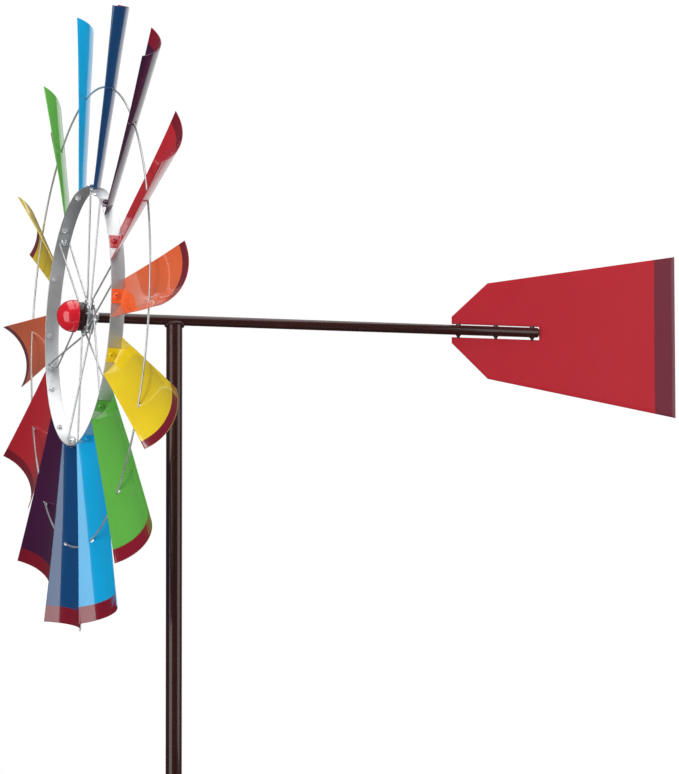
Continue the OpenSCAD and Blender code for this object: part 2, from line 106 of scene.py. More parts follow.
class WindmillWheelSizes(PropertyGroup):
    """Sizes of the wheel: rim, blades, tie ring and spokes"""

    rim_radius: length("Rim radius", size_of("rim_band")[0] / 2, "Outer radius of the rim band")
    rim_width: length("Rim width", 0.014, "Width of the rim band along the axle")
    rim_wall: length("Rim wall", 0.0009, "Thickness of the rim band")
    rim_station: length("Rim station", 0.0135, "Middle of the rim forward of the boom's front end")
    tip_radius: length("Tip radius", 0.308, "Radius at which the blades are cut off")
    root_chord: length("Root chord", 0.0406, "Chord of a blade at the rim")
    tip_chord: length("Tip chord", 0.065, "Chord of a blade at its tip")
    camber_radius: length("Camber radius", 0.045, "Radius of the blades' camber")
    pitch: angle("Pitch", 19, "Pitch of the blades, clockwise edge forward")
    lean: angle("Lean", 4, "Backward lean of the blades")
    sheet: length("Blade sheet", 0.0008, "Thickness of the blade sheet")
    root_setback: length("Root setback", 0.004, "Middle of a root behind the rim's middle")
    midline_shift: length("Midline shift", -0.00275, "Middle of a blade beside its radial line", -0.02)
    tip_band: length("Tip band", 0.0165, "Width of the burgundy band on the hollow face")
    ripple: length("Ripple", 0.00016, "Height of the gentle waves left in the pressed sheet")
    hole_shift: length("Hole shift", 0.0096, "Tie-ring hole clockwise of a blade's radial line")
    foot_thick: length("Foot thickness", 0.0009, "Thickness of a blade's foot on the rim")
    foot_width: length("Foot width", 0.014, "Width of a blade's foot")
    foot_shift: length("Foot shift", -0.0055, "Middle of the foot beside the radial line", -0.02)
    tie_radius: length("Tie ring radius", 0.2255, "Radius of the tie ring's centre line")
    tie_wire: length("Tie wire", 0.002, "Diameter of the tie ring's wire")
    spoke_wire: length("Spoke wire", 0.0018, "Diameter of the spoke wire")
    spoke_phase: angle("Spoke phase", 13, "Angle of the first pair of spokes")
    spoke_wrap: angle("Spoke wrap", 70, "Angle by which a spoke's flange hole leads its rim end")
    spoke_hole: length("Spoke hole radius", 0.0135, "Radius of the spoke holes in the flanges")
    flange_front: length("Front flange station", 0.0124, "Rear face of the front flange")
    flange_rear: length("Rear flange station", 0.0054, "Rear face of the rear flange")


class WindmillBodySizes(PropertyGroup):
    """Sizes of the boom, vane, pole, prongs and nose cap"""

    boom_radius: length("Boom radius", size_of("boom")[0] / 2, "Outer radius of the boom")
    boom_wall: length("Boom wall", 0.001, "Wall of the boom tube")
    pole_radius: length("Pole radius", size_of("pole_upper")[0] / 2, "Outer radius of pole and mast")
    pole_wall: length("Pole wall", 0.0012, "Wall of the pole and mast tubes")
    bead: length("Weld bead", 0.0021, "Radius of the weld bead between boom and mast")
    vane_sheet: length("Vane sheet", size_of("tail_vane")[0], "Thickness of the vane")
    vane_nose: length("Vane nose", 0.0132, "Half height of the vane's leading edge")
    vane_shoulder: length("Vane shoulder", 0.0482, "Half height where the vane's shoulders end")
    vane_shoulder_run: length("Shoulder run", 0.038, "Length of the vane's shoulders")
    slot_above: length("Gap above", 0.0008, "Gap between the boom and the slot's upper edge")
    slot_below: length("Gap below", 0.0024, "Gap between the boom and the slot's lower edge")
    slot_end: length("Slot end", 0.3800, "End of the slot behind the mast's axis")
    vane_band: length("Vane band", 0.0222, "Width of the burgundy trailing band")
    pin_first: length("First pins", 0.007, "First pair of pins behind the vane's leading edge")
    pin_second: length("Second pins", 0.0465, "Second pair of pins behind the vane's leading edge")
    pin_third: length("Third pins", 0.085, "Third pair of pins behind the vane's leading edge")
    prong_radius: length("Prong radius", 0.004, "Radius of the prongs")
    prong_tip: length("Prong tip", 0.022, "Length of a prong's point")
    rivet_radius: length("Rivet radius", 0.006, "Radius of the prongs' rivet heads")
    cap_radius: length("Cap radius", size_of("nose_cap")[0] / 2, "Outer radius of the nose cap")
    cap_length: length("Cap length", 0.0193, "Length of the nose cap")
    cap_back: length("Cap station", 0.0216, "Rear edge of the nose cap forward of the boom's front end")
    cap_wall: length("Cap wall", 0.0015, "Wall of the nose cap")
    collar_back: length("Collar station", 0.0139, "Rear face of the collar behind the cap")


class WindmillColours(PropertyGroup):
    """Paint and metal colours, linear"""

    indigo: colour("Indigo", (0.002, 0.052, 0.170), "Indigo blades")
    violet: colour("Violet", (0.047, 0.0065, 0.040), "Violet blades")
    red: colour("Red", (0.485, 0.0137, 0.026), "Red blades")
    orange: colour("Orange", (0.855, 0.144, 0.038), "Orange blades")
    yellow: colour("Yellow", (0.791, 0.578, 0.0116), "Yellow blades")
    green: colour("Green", (0.098, 0.371, 0.053), "Green blades")
    blue: colour("Light blue", (0.0, 0.347, 0.672), "Light blue blades")
    burgundy: colour("Burgundy", (0.195, 0.0048, 0.0176), "Bands at the blade tips")
    vane_band: colour("Vane band", (0.150, 0.0175, 0.034), "Trailing band of the vane")
    vane: colour("Vane red", (0.445, 0.0135, 0.0255), "Tail vane")
    cap: colour("Cap red", (0.64, 0.0085, 0.0225), "Nose cap")
    brown: colour("Brown", (0.030, 0.0068, 0.0058), "Boom, mast, pole and stake")
    zinc: colour("Zinc", (0.60, 0.61, 0.62), "Rim, wires and small fasteners")
    steel: colour("Steel", (0.50, 0.50, 0.50), "Hub, axle and spindle")


# ---------------------------------------------------------------------------------------------
# Mesh helpers: every shape is whole arrays of points, then faces by index


def unit(v):
    """Vectors scaled to length one."""
    return v / np.linalg.norm(v, axis=-1, keepdims=True)


def lattice(rows, columns, wrap_rows=False, wrap_columns=False, start=0):
    """Quads of a grid of points numbered row by row from start."""
    r = np.arange(rows if wrap_rows else rows - 1)
    c = np.arange(columns if wrap_columns else columns - 1)
    r, c = np.meshgrid(r, c, indexing="ij")
    r2, c2 = (r + 1) % rows, (c + 1) % columns
    quads = np.stack([r * columns + c, r * columns + c2, r2 * columns + c2, r2 * columns + c], -1)
    return quads.reshape(-1, 4) + start


def add_piece(name, points, quads, body, nodes, slot, look=None, uv=None, sharp=40.0, triangles=None):
    """A mesh piece that rides a body and stands for CAD nodes. uv holds one pair for each quad corner, and look
    names its finish where that isn't the slot's own."""
    points = np.asarray(points, np.float32).reshape(-1, 3)
    corners = np.asarray(quads, np.int32).reshape(-1, 4).ravel()
    totals = np.full(len(corners) // 4, 4, np.int32)
    if triangles is not None:
        corners = np.concatenate([corners, np.asarray(triangles, np.int32).ravel()])
        totals = np.concatenate([totals, np.full(len(triangles), 3, np.int32)])
    mesh = bpy.data.meshes.new(name)
    mesh.vertices.add(len(points))
    mesh.vertices.foreach_set("co", points.ravel())
    mesh.loops.add(len(corners))
    mesh.loops.foreach_set("vertex_index", corners)
    mesh.polygons.add(len(totals))
    mesh.polygons.foreach_set("loop_start", np.concatenate([[0], np.cumsum(totals)[:-1]]).astype(np.int32))
    mesh.update(calc_edges=True)
    if uv is not None:
        layer = mesh.uv_layers.new(name="Surface")
        layer.data.foreach_set("uv", np.asarray(uv, np.float32).ravel())
    turned = bmesh.new()
    turned.from_mesh(mesh)
    bmesh.ops.delete(turned, geom=[v for v in turned.verts if not v.link_faces], context="VERTS")
    bmesh.ops.recalc_face_normals(turned, faces=turned.faces)
    turned.to_mesh(mesh)
    turned.free()
    mesh.shade_smooth()
    mesh.set_sharp_from_angle(angle=math.radians(sharp))
    mesh.materials.append(finish(look or slot))
    piece = bpy.data.objects.new(name, mesh)
    bpy.context.scene.collection.objects.link(piece)
    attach(piece, body)
    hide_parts(*nodes)
    return piece


ON_AXIS = 1e-7  # an outline's end nearer than this to the axis lies on it


class Shape:
    """Points and faces gathered from several surfaces into one piece."""

    def __init__(self):
        self.points, self.quads, self.triangles, self.count = [], [], [], 0

    def grid(self, points, wrap_rows=False, wrap_columns=False):
        """Adds a grid of points, rows by columns, and returns the number of its first point."""
        rows, columns = points.shape[:2]
        start = self.count
        self.quads.append(lattice(rows, columns, wrap_rows, wrap_columns, start))
        self.points.append(points.reshape(-1, 3))
        self.count += rows * columns
        return start

    def cap(self, start, count, centre):
        """Closes a ring of points with a fan round a centre point."""
        i = start + np.arange(count)
        self.triangles.append(np.stack([i, np.roll(i, -1), np.full(count, self.count)], -1))
        self.points.append(np.asarray(centre, float).reshape(1, 3))
        self.count += 1

    def sweep(self, path, radius, hint, sides=12, closed=False):
        """A round wire: path point + radius * (cos a * normal + sin a * binormal), square to the path.
        The normal is square to the hint, which no stretch of the path may be parallel to."""
        path = np.asarray(path, float)
        step = np.roll(path, -1, 0) - np.roll(path, 1, 0) if closed else np.gradient(path, axis=0)
        tangent = unit(step)
        normal = unit(np.cross(np.broadcast_to(hint, tangent.shape), tangent))
        binormal = np.cross(tangent, normal)
        a = np.linspace(0, TAU, sides, endpoint=False)
        ring = np.cos(a)[None, :, None] * normal[:, None] + np.sin(a)[None, :, None] * binormal[:, None]
        r = np.broadcast_to(np.asarray(radius, float), (len(path),))[:, None, None]
        start = self.grid(path[:, None] + r * ring, wrap_rows=closed, wrap_columns=True)
        if not closed:
            self.cap(start, sides, path[0])
            self.cap(start + (len(path) - 1) * sides, sides, path[-1])

    def lathe(self, profile, origin, axis, across, sides=64, shape=None):
        """An outline of (radius, height) pairs turned round an axis: origin + r * (cos a * across +
        sin a * third) + h * axis. shape(a, r, h) may change both. An outline that starts and ends on the
        axis makes a solid, and any other is closed on itself."""
        profile = np.asarray(profile, float)
        axis, across = unit(np.asarray(axis, float)), unit(np.asarray(across, float))
        third = np.cross(axis, across)
        a = np.linspace(0, TAU, sides, endpoint=False)[None]
        r, h = (np.broadcast_to(column[:, None], (len(profile), sides)) for column in profile.T)
        if shape is not None:
            r, h = shape(a, r, h)
        spin = np.cos(a)[..., None] * across + np.sin(a)[..., None] * third
        points = np.asarray(origin) + r[..., None] * spin + np.asarray(h)[..., None] * axis
        solid = profile[0, 0] < ON_AXIS and profile[-1, 0] < ON_AXIS
        start = self.grid(points[1:-1] if solid else points, wrap_rows=not solid, wrap_columns=True)
        if solid:
            self.cap(start, sides, points[0].mean(0))
            self.cap(start + (len(profile) - 3) * sides, sides, points[-1].mean(0))

    def piece(self, name, body, nodes, slot, sharp=40.0, look=None):
        """The gathered surfaces as one piece."""
        triangles = np.concatenate(self.triangles) if self.triangles else None
        points, quads = np.concatenate(self.points), np.concatenate(self.quads)
        add_piece(name, points, quads, body, nodes, slot, look, sharp=sharp, triangles=triangles)


def box_profile(r0, r1, z0, z1, edge=0.0002, steps=4):
    """A closed (radius, height) outline of a rectangle with rounded corners."""
    a = np.linspace(0, math.pi / 2, steps)
    corners = ((r1 - edge, z0 + edge, -math.pi / 2), (r1 - edge, z1 - edge, 0.0),
               (r0 + edge, z1 - edge, math.pi / 2), (r0 + edge, z0 + edge, math.pi))
    return np.concatenate([
        np.stack([x + edge * np.cos(a + t), z + edge * np.sin(a + t)], -1) for x, z, t in corners
    ])


def rounded_path(corners, reach, steps=9):
    """A polyline whose corners are eased by parabolas that leave and meet its legs at the given distance, or at
    a little under half of a short leg."""
    share = 0.45
    corners = [np.asarray(c, float) for c in corners]
    t = np.linspace(0, 1, steps)[:, None]
    out = [corners[0][None]]
    for before, at, after in zip(corners, corners[1:], corners[2:]):
        a = at + min(reach, share * np.linalg.norm(at - before)) * unit(before - at)
        b = at + min(reach, share * np.linalg.norm(after - at)) * unit(after - at)
        out.append((1 - t) ** 2 * a + 2 * t * (1 - t) * at + t**2 * b)
    out.append(corners[-1][None])
    return np.concatenate(out)


def hexagon(flats):
    """A lathe shape that cuts the turned outline back to a hexagon."""
    def shape(a, r, h):
        side = (a + math.pi / 6) % (math.pi / 3) - math.pi / 6
        return np.minimum(r, flats / 2 / np.cos(side)), h
    return shape


def nut_profile(bore, flats, low, high):
    """A closed outline of a hexagonal nut, chamfered at both faces."""
    corner, face = flats / 2 / math.cos(math.pi / 6), flats / 2 * 0.96
    drop = (corner - flats / 2) * 0.9
    return [(bore, low), (face, low), (corner, low + drop), (corner, high - drop), (face, high), (bore, high)]


def thread_profile(r, low, high, pitch=0.0005, depth=0.00016, chamfer=0.0004):
    """A solid outline of a screw's end from low, with ridges and a chamfered tip at high."""
    turns = max(2, int(abs(high - low) / pitch))
    h = np.linspace(low, high, 2 * turns + 1)
    ridge = r - depth * (np.arange(len(h)) % 2)
    return np.concatenate([[(0, low)], np.stack([ridge, h], -1)[:-1], [(r - chamfer, high), (0, high)]])


def pan_profile(r, low, height, sink=0.0002):
    """A solid outline of a domed screw head that stands height above low, its side upright for a third."""
    a = np.linspace(0, math.pi / 2, 9)[:-1]
    side = height * 0.35
    rise = side + (height - side) * np.sin(a)
    run = r * np.cos(a * 0.999) ** 0.55
    inner = [(r * 0.5, low + height), (r * 0.25, low + height)]
    return np.concatenate([[(0, low - sink), (r, low - sink)], np.stack([run, low + rise], -1), inner,
                           [(0, low + height)]])


def cross_recess(low, height, reach, half):
    """A lathe shape that sinks a cross into the top of a screw head, with sloping walls and ends."""
    wall, end, depth = 0.35 * half, 0.2 * reach, 0.62 * height
    start, slope = low + 0.55 * height, 0.25 * height

    def shape(a, r, h):
        x, y = np.abs(r * np.cos(a)), np.abs(r * np.sin(a))
        inside = np.clip((half - np.minimum(x, y)) / wall, 0, 1) * np.clip((reach - r) / end, 0, 1)
        return r, h - depth * inside * np.clip((h - start) / slope, 0, 1)
    return shape


# ---------------------------------------------------------------------------------------------
# The axle frame


def from_axle(x, y, z):
    """Points given in the axle frame, as points of the model."""
    x, y, z = (np.asarray(c, float)[..., None] for c in np.broadcast_arrays(x, y, z))
    return AXLE_POINT + x * SIDE + y * UP + z * FORWARD


def round_axle(a, r, z):
    """Points at a clockwise angle, a radius and a forward station."""
    return from_axle(r * np.sin(a), r * np.cos(a), z)


def outward(a):
    """The radial direction at a clockwise angle."""
    return math.sin(a) * SIDE + math.cos(a) * UP


def eased(count, edge, span):
    """Places from 0 to 1 that crowd towards both ends, for edges rounded over a distance on a span."""
    near = edge / span * np.array([0, 0.06, 0.22, 0.55, 1.0, 1.8, 3.5])
    return np.concatenate([near, np.linspace(near[-1], 1 - near[-1], count)[1:-1], (1 - near)[::-1]])


def with_block(base, centre, half):
    """Places of a grid with extra lines round a hole, and the first and last line of the hole's block."""
    lines = np.array([0.2, 0.6, 1, 1.25, 1.6, 2.2, 3, 4])
    block = centre + half * np.concatenate([-lines[::-1], lines])
    places = np.sort(np.concatenate([base[np.abs(base - centre) > 4.6 * half], block]))
    return places, np.searchsorted(places, block[5] - 1e-9), np.searchsorted(places, block[10] - 1e-9)


# ---------------------------------------------------------------------------------------------
# Finishes: node graphs on Object coordinates, or on the blades' own UV map


BAND_EDGE = 0.0003  # half width of the soft edge of a sprayed band


class Finish:
    """A material built step by step round one principled shader."""

    def __init__(self, name, **constants):
        self.material = bpy.data.materials.new(name)
        self.material.use_nodes = True
        self.nodes, self.links = self.material.node_tree.nodes, self.material.node_tree.links
        self.shader = self.nodes["Principled BSDF"]
        for socket, value in constants.items():
            self.shader.inputs[socket.replace("_", " ")].default_value = value
        self.coordinates = self.nodes.new("ShaderNodeTexCoord")

    def add(self, kind, values=None, **settings):
        """A node with its settings; values fills its sockets with numbers or links."""
        node = self.nodes.new("ShaderNode" + kind)
        for setting, value in settings.items():
            setattr(node, setting, value)
        for socket, value in (values or {}).items():
            if isinstance(value, bpy.types.NodeSocket):
                self.links.new(value, node.inputs[socket])
            else:
                node.inputs[socket].default_value = value
        return node

    def place(self, stretch=(1, 1, 1), turn=(0, 0, 0)):
        """Object coordinates, turned and stretched."""
        values = {"Vector": self.coordinates.outputs["Object"], "Rotation": turn, "Scale": stretch}
        return self.add("Mapping", values, vector_type="POINT").outputs[0]

    def noise(self, scale, detail=2.0, rough=0.5, vector=None):
        """Noise from about 0 to 1."""
        values = {"Vector": vector or self.place(), "Scale": scale, "Detail": detail, "Roughness": rough}
        return self.add("TexNoise", values).outputs[0]

    def remap(self, value, low, high, start=0.3, end=0.7):
        """A number moved from one range to another."""
        values = {"Value": value, "From Min": start, "From Max": end, "To Min": low, "To Max": high}
        return self.add("MapRange", values).outputs[0]

    def mix(self, factor, first, second, blend="MIX"):
        """Two colours mixed."""
        node = self.add("Mix", data_type="RGBA", blend_type=blend)
        for socket, value in ((0, factor), (6, first), (7, second)):
            if isinstance(value, bpy.types.NodeSocket):
                self.links.new(value, node.inputs[socket])
            else:
                node.inputs[socket].default_value = value if socket == 0 else (*value, 1.0)[:4]
        return node.outputs[2]

    def math(self, operation, a, b=0.0):
        """One sum on two numbers."""
        return self.add("Math", {0: a, 1: b}, operation=operation).outputs[0]

    def wandering(self, value, scale, amount):
        """A number with a little noise added, so that a line drawn by it isn't quite straight."""
        return self.math("ADD", value, self.math("MULTIPLY", self.math("SUBTRACT", self.noise(scale), 0.5), amount))

    def set(self, socket, value):
        """Links a value into the shader."""
        self.links.new(value, self.shader.inputs[socket])

    def bumps(self, *layers):
        """Bump layers of (height, distance in metres), one on top of the other."""
        normal = None
        for height, distance in layers:
            values = {"Height": height, "Distance": distance, "Strength": 1.0}
            if normal is not None:
                values["Normal"] = normal
            normal = self.add("Bump", values).outputs[0]
        self.set("Normal", normal)


def tinted(base, amount):
    """A colour made darker or lighter."""
    return tuple(min(1.0, c * amount) for c in base)


def enamel_tone(f, base, drift, spread, fleck_scale, fleck_share, fleck_bright):
    """Enamel's colour: a slow drift between two tones of the base, with dust-fine brighter flecks."""
    tone = f.mix(drift, tinted(base, spread[0]), tinted(base, spread[1]))
    flecks = f.remap(f.noise(fleck_scale, 1.0), 0.0, fleck_share, 0.62, 0.72)
    return f.mix(flecks, tone, tinted(base, fleck_bright))


def blade_paint(name, base, banded=True):
    """High-gloss enamel: faint orange peel, slow tone drift, dust-fine flecks, and on a blade a sprayed
    burgundy band where the UV map's V, the distance from the tip, is less than the band's width."""
    colours, wheel = bpy.context.scene.windmill_colours, bpy.context.scene.windmill_wheel
    f = Finish(name, Coat_Weight=0.85, Coat_Roughness=0.03, Coat_IOR=1.55, Specular_IOR_Level=0.22)
    drift = f.remap(f.noise(9.0, 3.0), 0.0, 1.0)
    tone = enamel_tone(f, base, drift, (0.9, 1.06), 2600.0, 0.35, 1.35)
    f.set("Roughness", f.remap(f.noise(38.0, 4.0, 0.6), 0.17, 0.26))
    f.bumps((f.noise(420.0, 2.0, 0.6), 0.00001), (f.noise(55.0, 2.0), 0.00004))
    if not banded:
        f.set("Base Color", tone)
        return f.material
    uv = f.add("SeparateXYZ", {0: f.coordinates.outputs["UV"]}).outputs
    from_tip = f.wandering(uv[1], 220.0, 0.0011)
    band = f.remap(from_tip, 1.0, 0.0, wheel.tip_band - BAND_EDGE, wheel.tip_band + BAND_EDGE)
    edge = f.mix(drift, tinted(colours.burgundy, 0.85), tinted(colours.burgundy, 1.15))
    f.set("Base Color", f.mix(band, tone, edge))
    return f.material


def vane_paint():
    """The vane's red enamel, with its burgundy trailing band set by Y in Object coordinates."""
    colours, body = bpy.context.scene.windmill_colours, bpy.context.scene.windmill_body
    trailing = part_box("tail_vane")[1][1]
    f = Finish("vane_paint", Coat_Weight=0.3, Coat_Roughness=0.14, Coat_IOR=1.5, Specular_IOR_Level=0.2)
    drift = f.remap(f.noise(6.0, 3.0), 0.0, 1.0)
    tone = enamel_tone(f, colours.vane, drift, (0.95, 1.04), 2400.0, 0.3, 1.3)
    along = f.add("SeparateXYZ", {0: f.coordinates.outputs["Object"]}).outputs[1]
    start = trailing - body.vane_band
    band = f.remap(f.wandering(along, 160.0, 0.0009), 0.0, 1.0, start - BAND_EDGE, start + BAND_EDGE)
    edge = f.mix(drift, tinted(colours.vane_band, 0.92), tinted(colours.vane_band, 1.08))
    f.set("Base Color", f.mix(band, tone, edge))
    f.set("Roughness", f.remap(f.noise(30.0, 4.0, 0.6), 0.3, 0.42))
    f.bumps((f.noise(420.0, 2.0, 0.6), 0.00001), (f.noise(40.0, 2.0), 0.00004))
    return f.material


def tube_paint():
    """Dark brown stove enamel: fine orange peel, a trace of metal flake and slightly rubbed patches."""
    base = bpy.context.scene.windmill_colours.brown
    f = Finish("brown_paint", Coat_Weight=0.6, Coat_Roughness=0.09, Coat_IOR=1.45, Specular_IOR_Level=0.15)
    drift = f.remap(f.noise(14.0, 4.0, 0.6), 0.0, 1.0)
    tone = f.mix(drift, tinted(base, 0.8), tinted(base, 1.25))
    cells = f.add("TexVoronoi", {"Vector": f.place(), "Scale": 2200.0}).outputs[1]
    flake = f.remap(f.add("SeparateXYZ", {0: cells}).outputs[0], 0.0, 0.3, 0.9, 1.0)
    f.set("Base Color", f.mix(flake, tone, (0.16, 0.075, 0.055)))
    f.set("Roughness", f.remap(f.noise(60.0, 4.0, 0.65), 0.24, 0.38))
    f.bumps((f.noise(520.0, 2.0, 0.6), 0.000016))
    return f.material


def cap_plastic():
    """Glossy moulded red plastic with faint flow marks and hairline scuffs."""
    base = bpy.context.scene.windmill_colours.cap
    f = Finish("cap_red", Coat_Weight=0.8, Coat_Roughness=0.06, Specular_IOR_Level=0.3, Subsurface_Weight=0.06,
               Subsurface_Scale=0.003)
    flow = f.remap(f.noise(60.0, 2.0, 0.5, f.place((1, 0.25, 1))), 0.0, 1.0)
    f.set("Base Color", f.mix(flow, tinted(base, 0.92), tinted(base, 1.05)))
    f.set("Roughness", f.remap(f.noise(180.0, 5.0, 0.7), 0.2, 0.27))
    f.bumps((f.noise(300.0, 3.0, 0.6), 0.000004))
    return f.material


def brushed_rim():
    """Rolled bright steel: streaks that run round the wheel, because their noise reads only the station along
    the tilted axle and the distance from it, with soft cloudy patches and small dark specks over them."""
    base = bpy.context.scene.windmill_colours.zinc
    f = Finish("rim_steel", Metallic=0.78)
    tilt = math.atan2(FORWARD[2], -FORWARD[1])
    turned = f.place((1, 1, 1), (tilt, 0, 0))
    station = f.add("SeparateXYZ", {0: turned}).outputs[1]
    streaks = f.noise(2600.0, 3.0, 0.7, f.add("CombineXYZ", {1: station}).outputs[0])
    clouds = f.noise(26.0, 3.0, 0.55)
    tone = f.mix(f.remap(clouds, 0.0, 1.0), tinted(base, 0.86), tinted(base, 1.14))
    tone = f.mix(f.remap(streaks, 0.0, 0.5), tone, tinted(base, 1.3))
    specks = f.remap(f.noise(900.0, 2.0), 0.0, 0.5, 0.66, 0.76)
    f.set("Base Color", f.mix(specks, tone, tinted(base, 0.5)))
    f.set("Roughness", f.math("ADD", f.remap(streaks, 0.34, 0.44), f.remap(clouds, -0.03, 0.05)))
    f.bumps((streaks, 0.000006), (f.noise(90.0, 2.0), 0.00002))
    return f.material


def plated(name, base, rough=(0.22, 0.36), scale=60.0, grain=900.0):
    """Zinc-plated or turned steel: cloudy plating, fine pits and a soft grain."""
    f = Finish(name, Metallic=0.66)
    clouds = f.noise(scale, 4.0, 0.6)
    tone = f.mix(f.remap(clouds, 0.0, 1.0), tinted(base, 0.8), tinted(base, 1.18))
    pits = f.remap(f.noise(grain, 2.0), 0.0, 0.6, 0.63, 0.72)
    f.set("Base Color", f.mix(pits, tone, tinted(base, 0.42)))
    f.set("Roughness", f.remap(f.noise(scale * 3, 4.0, 0.6), *rough))
    f.bumps((f.noise(grain, 3.0, 0.6), 0.00001))
    return f.material


def moulded(name, base, rough=(0.4, 0.55)):
    """Matt moulded nylon with a spark-eroded grain."""
    f = Finish(name, Specular_IOR_Level=0.4, Subsurface_Weight=0.05, Subsurface_Scale=0.002)
    f.set("Base Color", f.mix(f.remap(f.noise(80.0, 3.0), 0.0, 1.0), tinted(base, 0.88), tinted(base, 1.06)))
    f.set("Roughness", f.remap(f.noise(300.0, 4.0), *rough))
    f.bumps((f.noise(1800.0, 2.0), 0.00003))
    return f.material


def studio_floor():
    """Pale matt floor with a faint tooth, which glows more with distance and so meets the white sky."""
    f = Finish("studio_floor", Specular_IOR_Level=0.25, Emission_Color=(1.0, 1.0, 1.0, 1.0))
    away = f.add("VectorMath", {0: f.coordinates.outputs["Object"]}, operation="LENGTH").outputs["Value"]
    f.set("Emission Strength", f.remap(away, 0.0, 1.0, 0.7, 3.0))
    f.set("Base Color", f.mix(f.remap(f.noise(1.3, 4.0), 0.0, 1.0), (0.78, 0.78, 0.775), (0.82, 0.82, 0.818)))
    f.set("Roughness", f.remap(f.noise(9.0, 4.0), 0.55, 0.75))
    f.bumps((f.noise(160.0, 3.0), 0.0002))
    return f.material


FINISHES = {}


def finish(name):
    """A finish by name, made when it is first wanted. A blade's enamel is named colour_paint, and colour_head
    where it is sprayed over the blade's bolt head."""
    colours = bpy.context.scene.windmill_colours
    makers = {
        "vane_paint": vane_paint,
        "brown_paint": tube_paint,
        "cap_red": cap_plastic,
        "rim_steel": brushed_rim,
        "galvanised_wire": lambda: plated("galvanised_wire", colours.zinc, (0.24, 0.4), 45.0),
        "hub_steel": lambda: plated("hub_steel", colours.zinc, (0.24, 0.38), 90.0, 1400.0),
        "zinc_hardware": lambda: plated(
            "zinc_hardware", tinted(colours.zinc, 1.08), (0.16, 0.28), 140.0, 1600.0
        ),
        "plain_steel": lambda: plated("plain_steel", colours.steel, (0.26, 0.42), 70.0),
        "white_nylon": lambda: moulded("white_nylon", (0.72, 0.70, 0.65)),
        "black_nylon": lambda: moulded("black_nylon", (0.018, 0.015, 0.014), (0.35, 0.5)),
    }
    if name not in FINISHES:
        paint, kind = name.split("_", 1)
        if paint in BLADE_PAINTS:
            FINISHES[name] = blade_paint(name, getattr(colours, paint), banded=kind == "paint")
        else:
            FINISHES[name] = makers[name]()
    return FINISHES[name]


# ---------------------------------------------------------------------------------------------
# Blades

HOLE_CLEARANCE = 0.0006  # round the tie ring's wire
HOLE_SQUARE = 0.78  # half side of the square of cells left out at the hole, in hole radii
HOLE_REACH = 3.2  # distance over which the grid eases back to itself, in such squares
EDGE_ROLL = 0.0004  # rounding of a foot's edges


def blade_angle(i):
    """The clockwise angle of a blade's radial line."""
    return (i + 0.5) * TAU / BLADE_COUNT


def camber_axis():
    """Sideways place and forward station of the camber cylinder's axis at the rim's radius."""
    w = bpy.context.scene.windmill_wheel
    x = w.midline_shift - w.camber_radius * math.sin(w.pitch)
    z = w.rim_station - w.root_setback + w.camber_radius * math.cos(w.pitch)
    return x, z


def beside_blade(i, x, y, z):
    """Points given beside blade i's radial line (x clockwise, y out, z forward), as points of the model."""
    a = blade_angle(i)
    return from_axle(x * math.cos(a) + y * math.sin(a), -x * math.sin(a) + y * math.cos(a), z)


def tie_hole():
    """Middle of the tie ring's hole across and out along a blade, and its half lengths both ways."""
    w = bpy.context.scene.windmill_wheel
    radius = w.camber_radius + w.sheet / 2
    turn = math.asin((w.hole_shift - camber_axis()[0]) / radius)
    rise = math.sqrt(w.tie_radius**2 - w.hole_shift**2)
    out = (rise - w.rim_radius + radius * math.cos(turn) * math.sin(w.lean)) / math.cos(w.lean)
    half = w.tie_wire / 2 + HOLE_CLEARANCE
    return radius * math.sin(turn - w.pitch), out, half / math.sin(turn), half


def opened(qa, qo):
    """How far points given in hole radii move out from the hole's middle: a square ring of the grid comes to
    stand on the unit circle, and a smooth step leads from there back to the grid itself."""
    away = np.hypot(qa, qo) + 1e-12
    square = np.maximum(np.abs(qa), np.abs(qo)) / HOLE_SQUARE
    step = np.clip((square - 1) / HOLE_REACH, 0, 1)
    blend = step**2 * (3 - 2 * step)
    inside = square < 0.9
    return np.where(inside | (step >= 1), 1.0, ((1 - blend) + blend * away) / away)


def blade_skins(i, s, t, across, out, hole_distance):
    """Both faces of a blade and each point's distance along it: a leaning cylinder of radius r about the camber
    axis. A point at angle b from the blade's middle line and distance w out along the axis stands at
    u = r sin(b + pitch) sideways, r cos(b + pitch) cos(lean) + w sin(lean) behind the axis, and
    w cos(lean) - r cos(b + pitch) sin(lean) above the rim's radius. The root follows the rim, the skins close
    in half circles at the edges, and slow waves of the pressed sheet fade at the root and at the hole."""
    w = bpy.context.scene.windmill_wheel
    x0, z0 = camber_axis()
    middle = w.camber_radius + w.sheet / 2
    span = (w.tip_radius - w.rim_radius) / math.cos(w.lean)
    from_edge = np.minimum((1 - np.abs(s)) * w.root_chord / 2, np.minimum(t, 1 - t) * span)
    near = np.clip(from_edge / (w.sheet / 2), 0, 1)
    height = w.sheet / 2 * np.sqrt(1 - (1 - near) ** 2)
    wave = np.sin(31 * out + 1.7 * i) * np.cos(70 * across + 0.9 * i) + 0.5 * np.sin(83 * out - 2.3 * i)
    calm = np.clip(t / 0.12, 0, 1) * np.clip(hole_distance / 8, 0, 1)
    turned = np.arcsin(across / middle) + w.pitch
    for side in (1.0, -1.0):
        r = middle - side * height + w.ripple * wave * calm
        x, v = x0 + r * np.sin(turned), r * np.cos(turned)
        root = (np.sqrt(w.rim_radius**2 - x**2) - w.rim_radius + v * math.sin(w.lean)) / math.cos(w.lean)
        along = root + (span - root) * out / span
        back = v * math.cos(w.lean) + along * math.sin(w.lean)
        rise = along * math.cos(w.lean) - v * math.sin(w.lean)
        yield beside_blade(i, x, w.rim_radius + rise, z0 - back), along


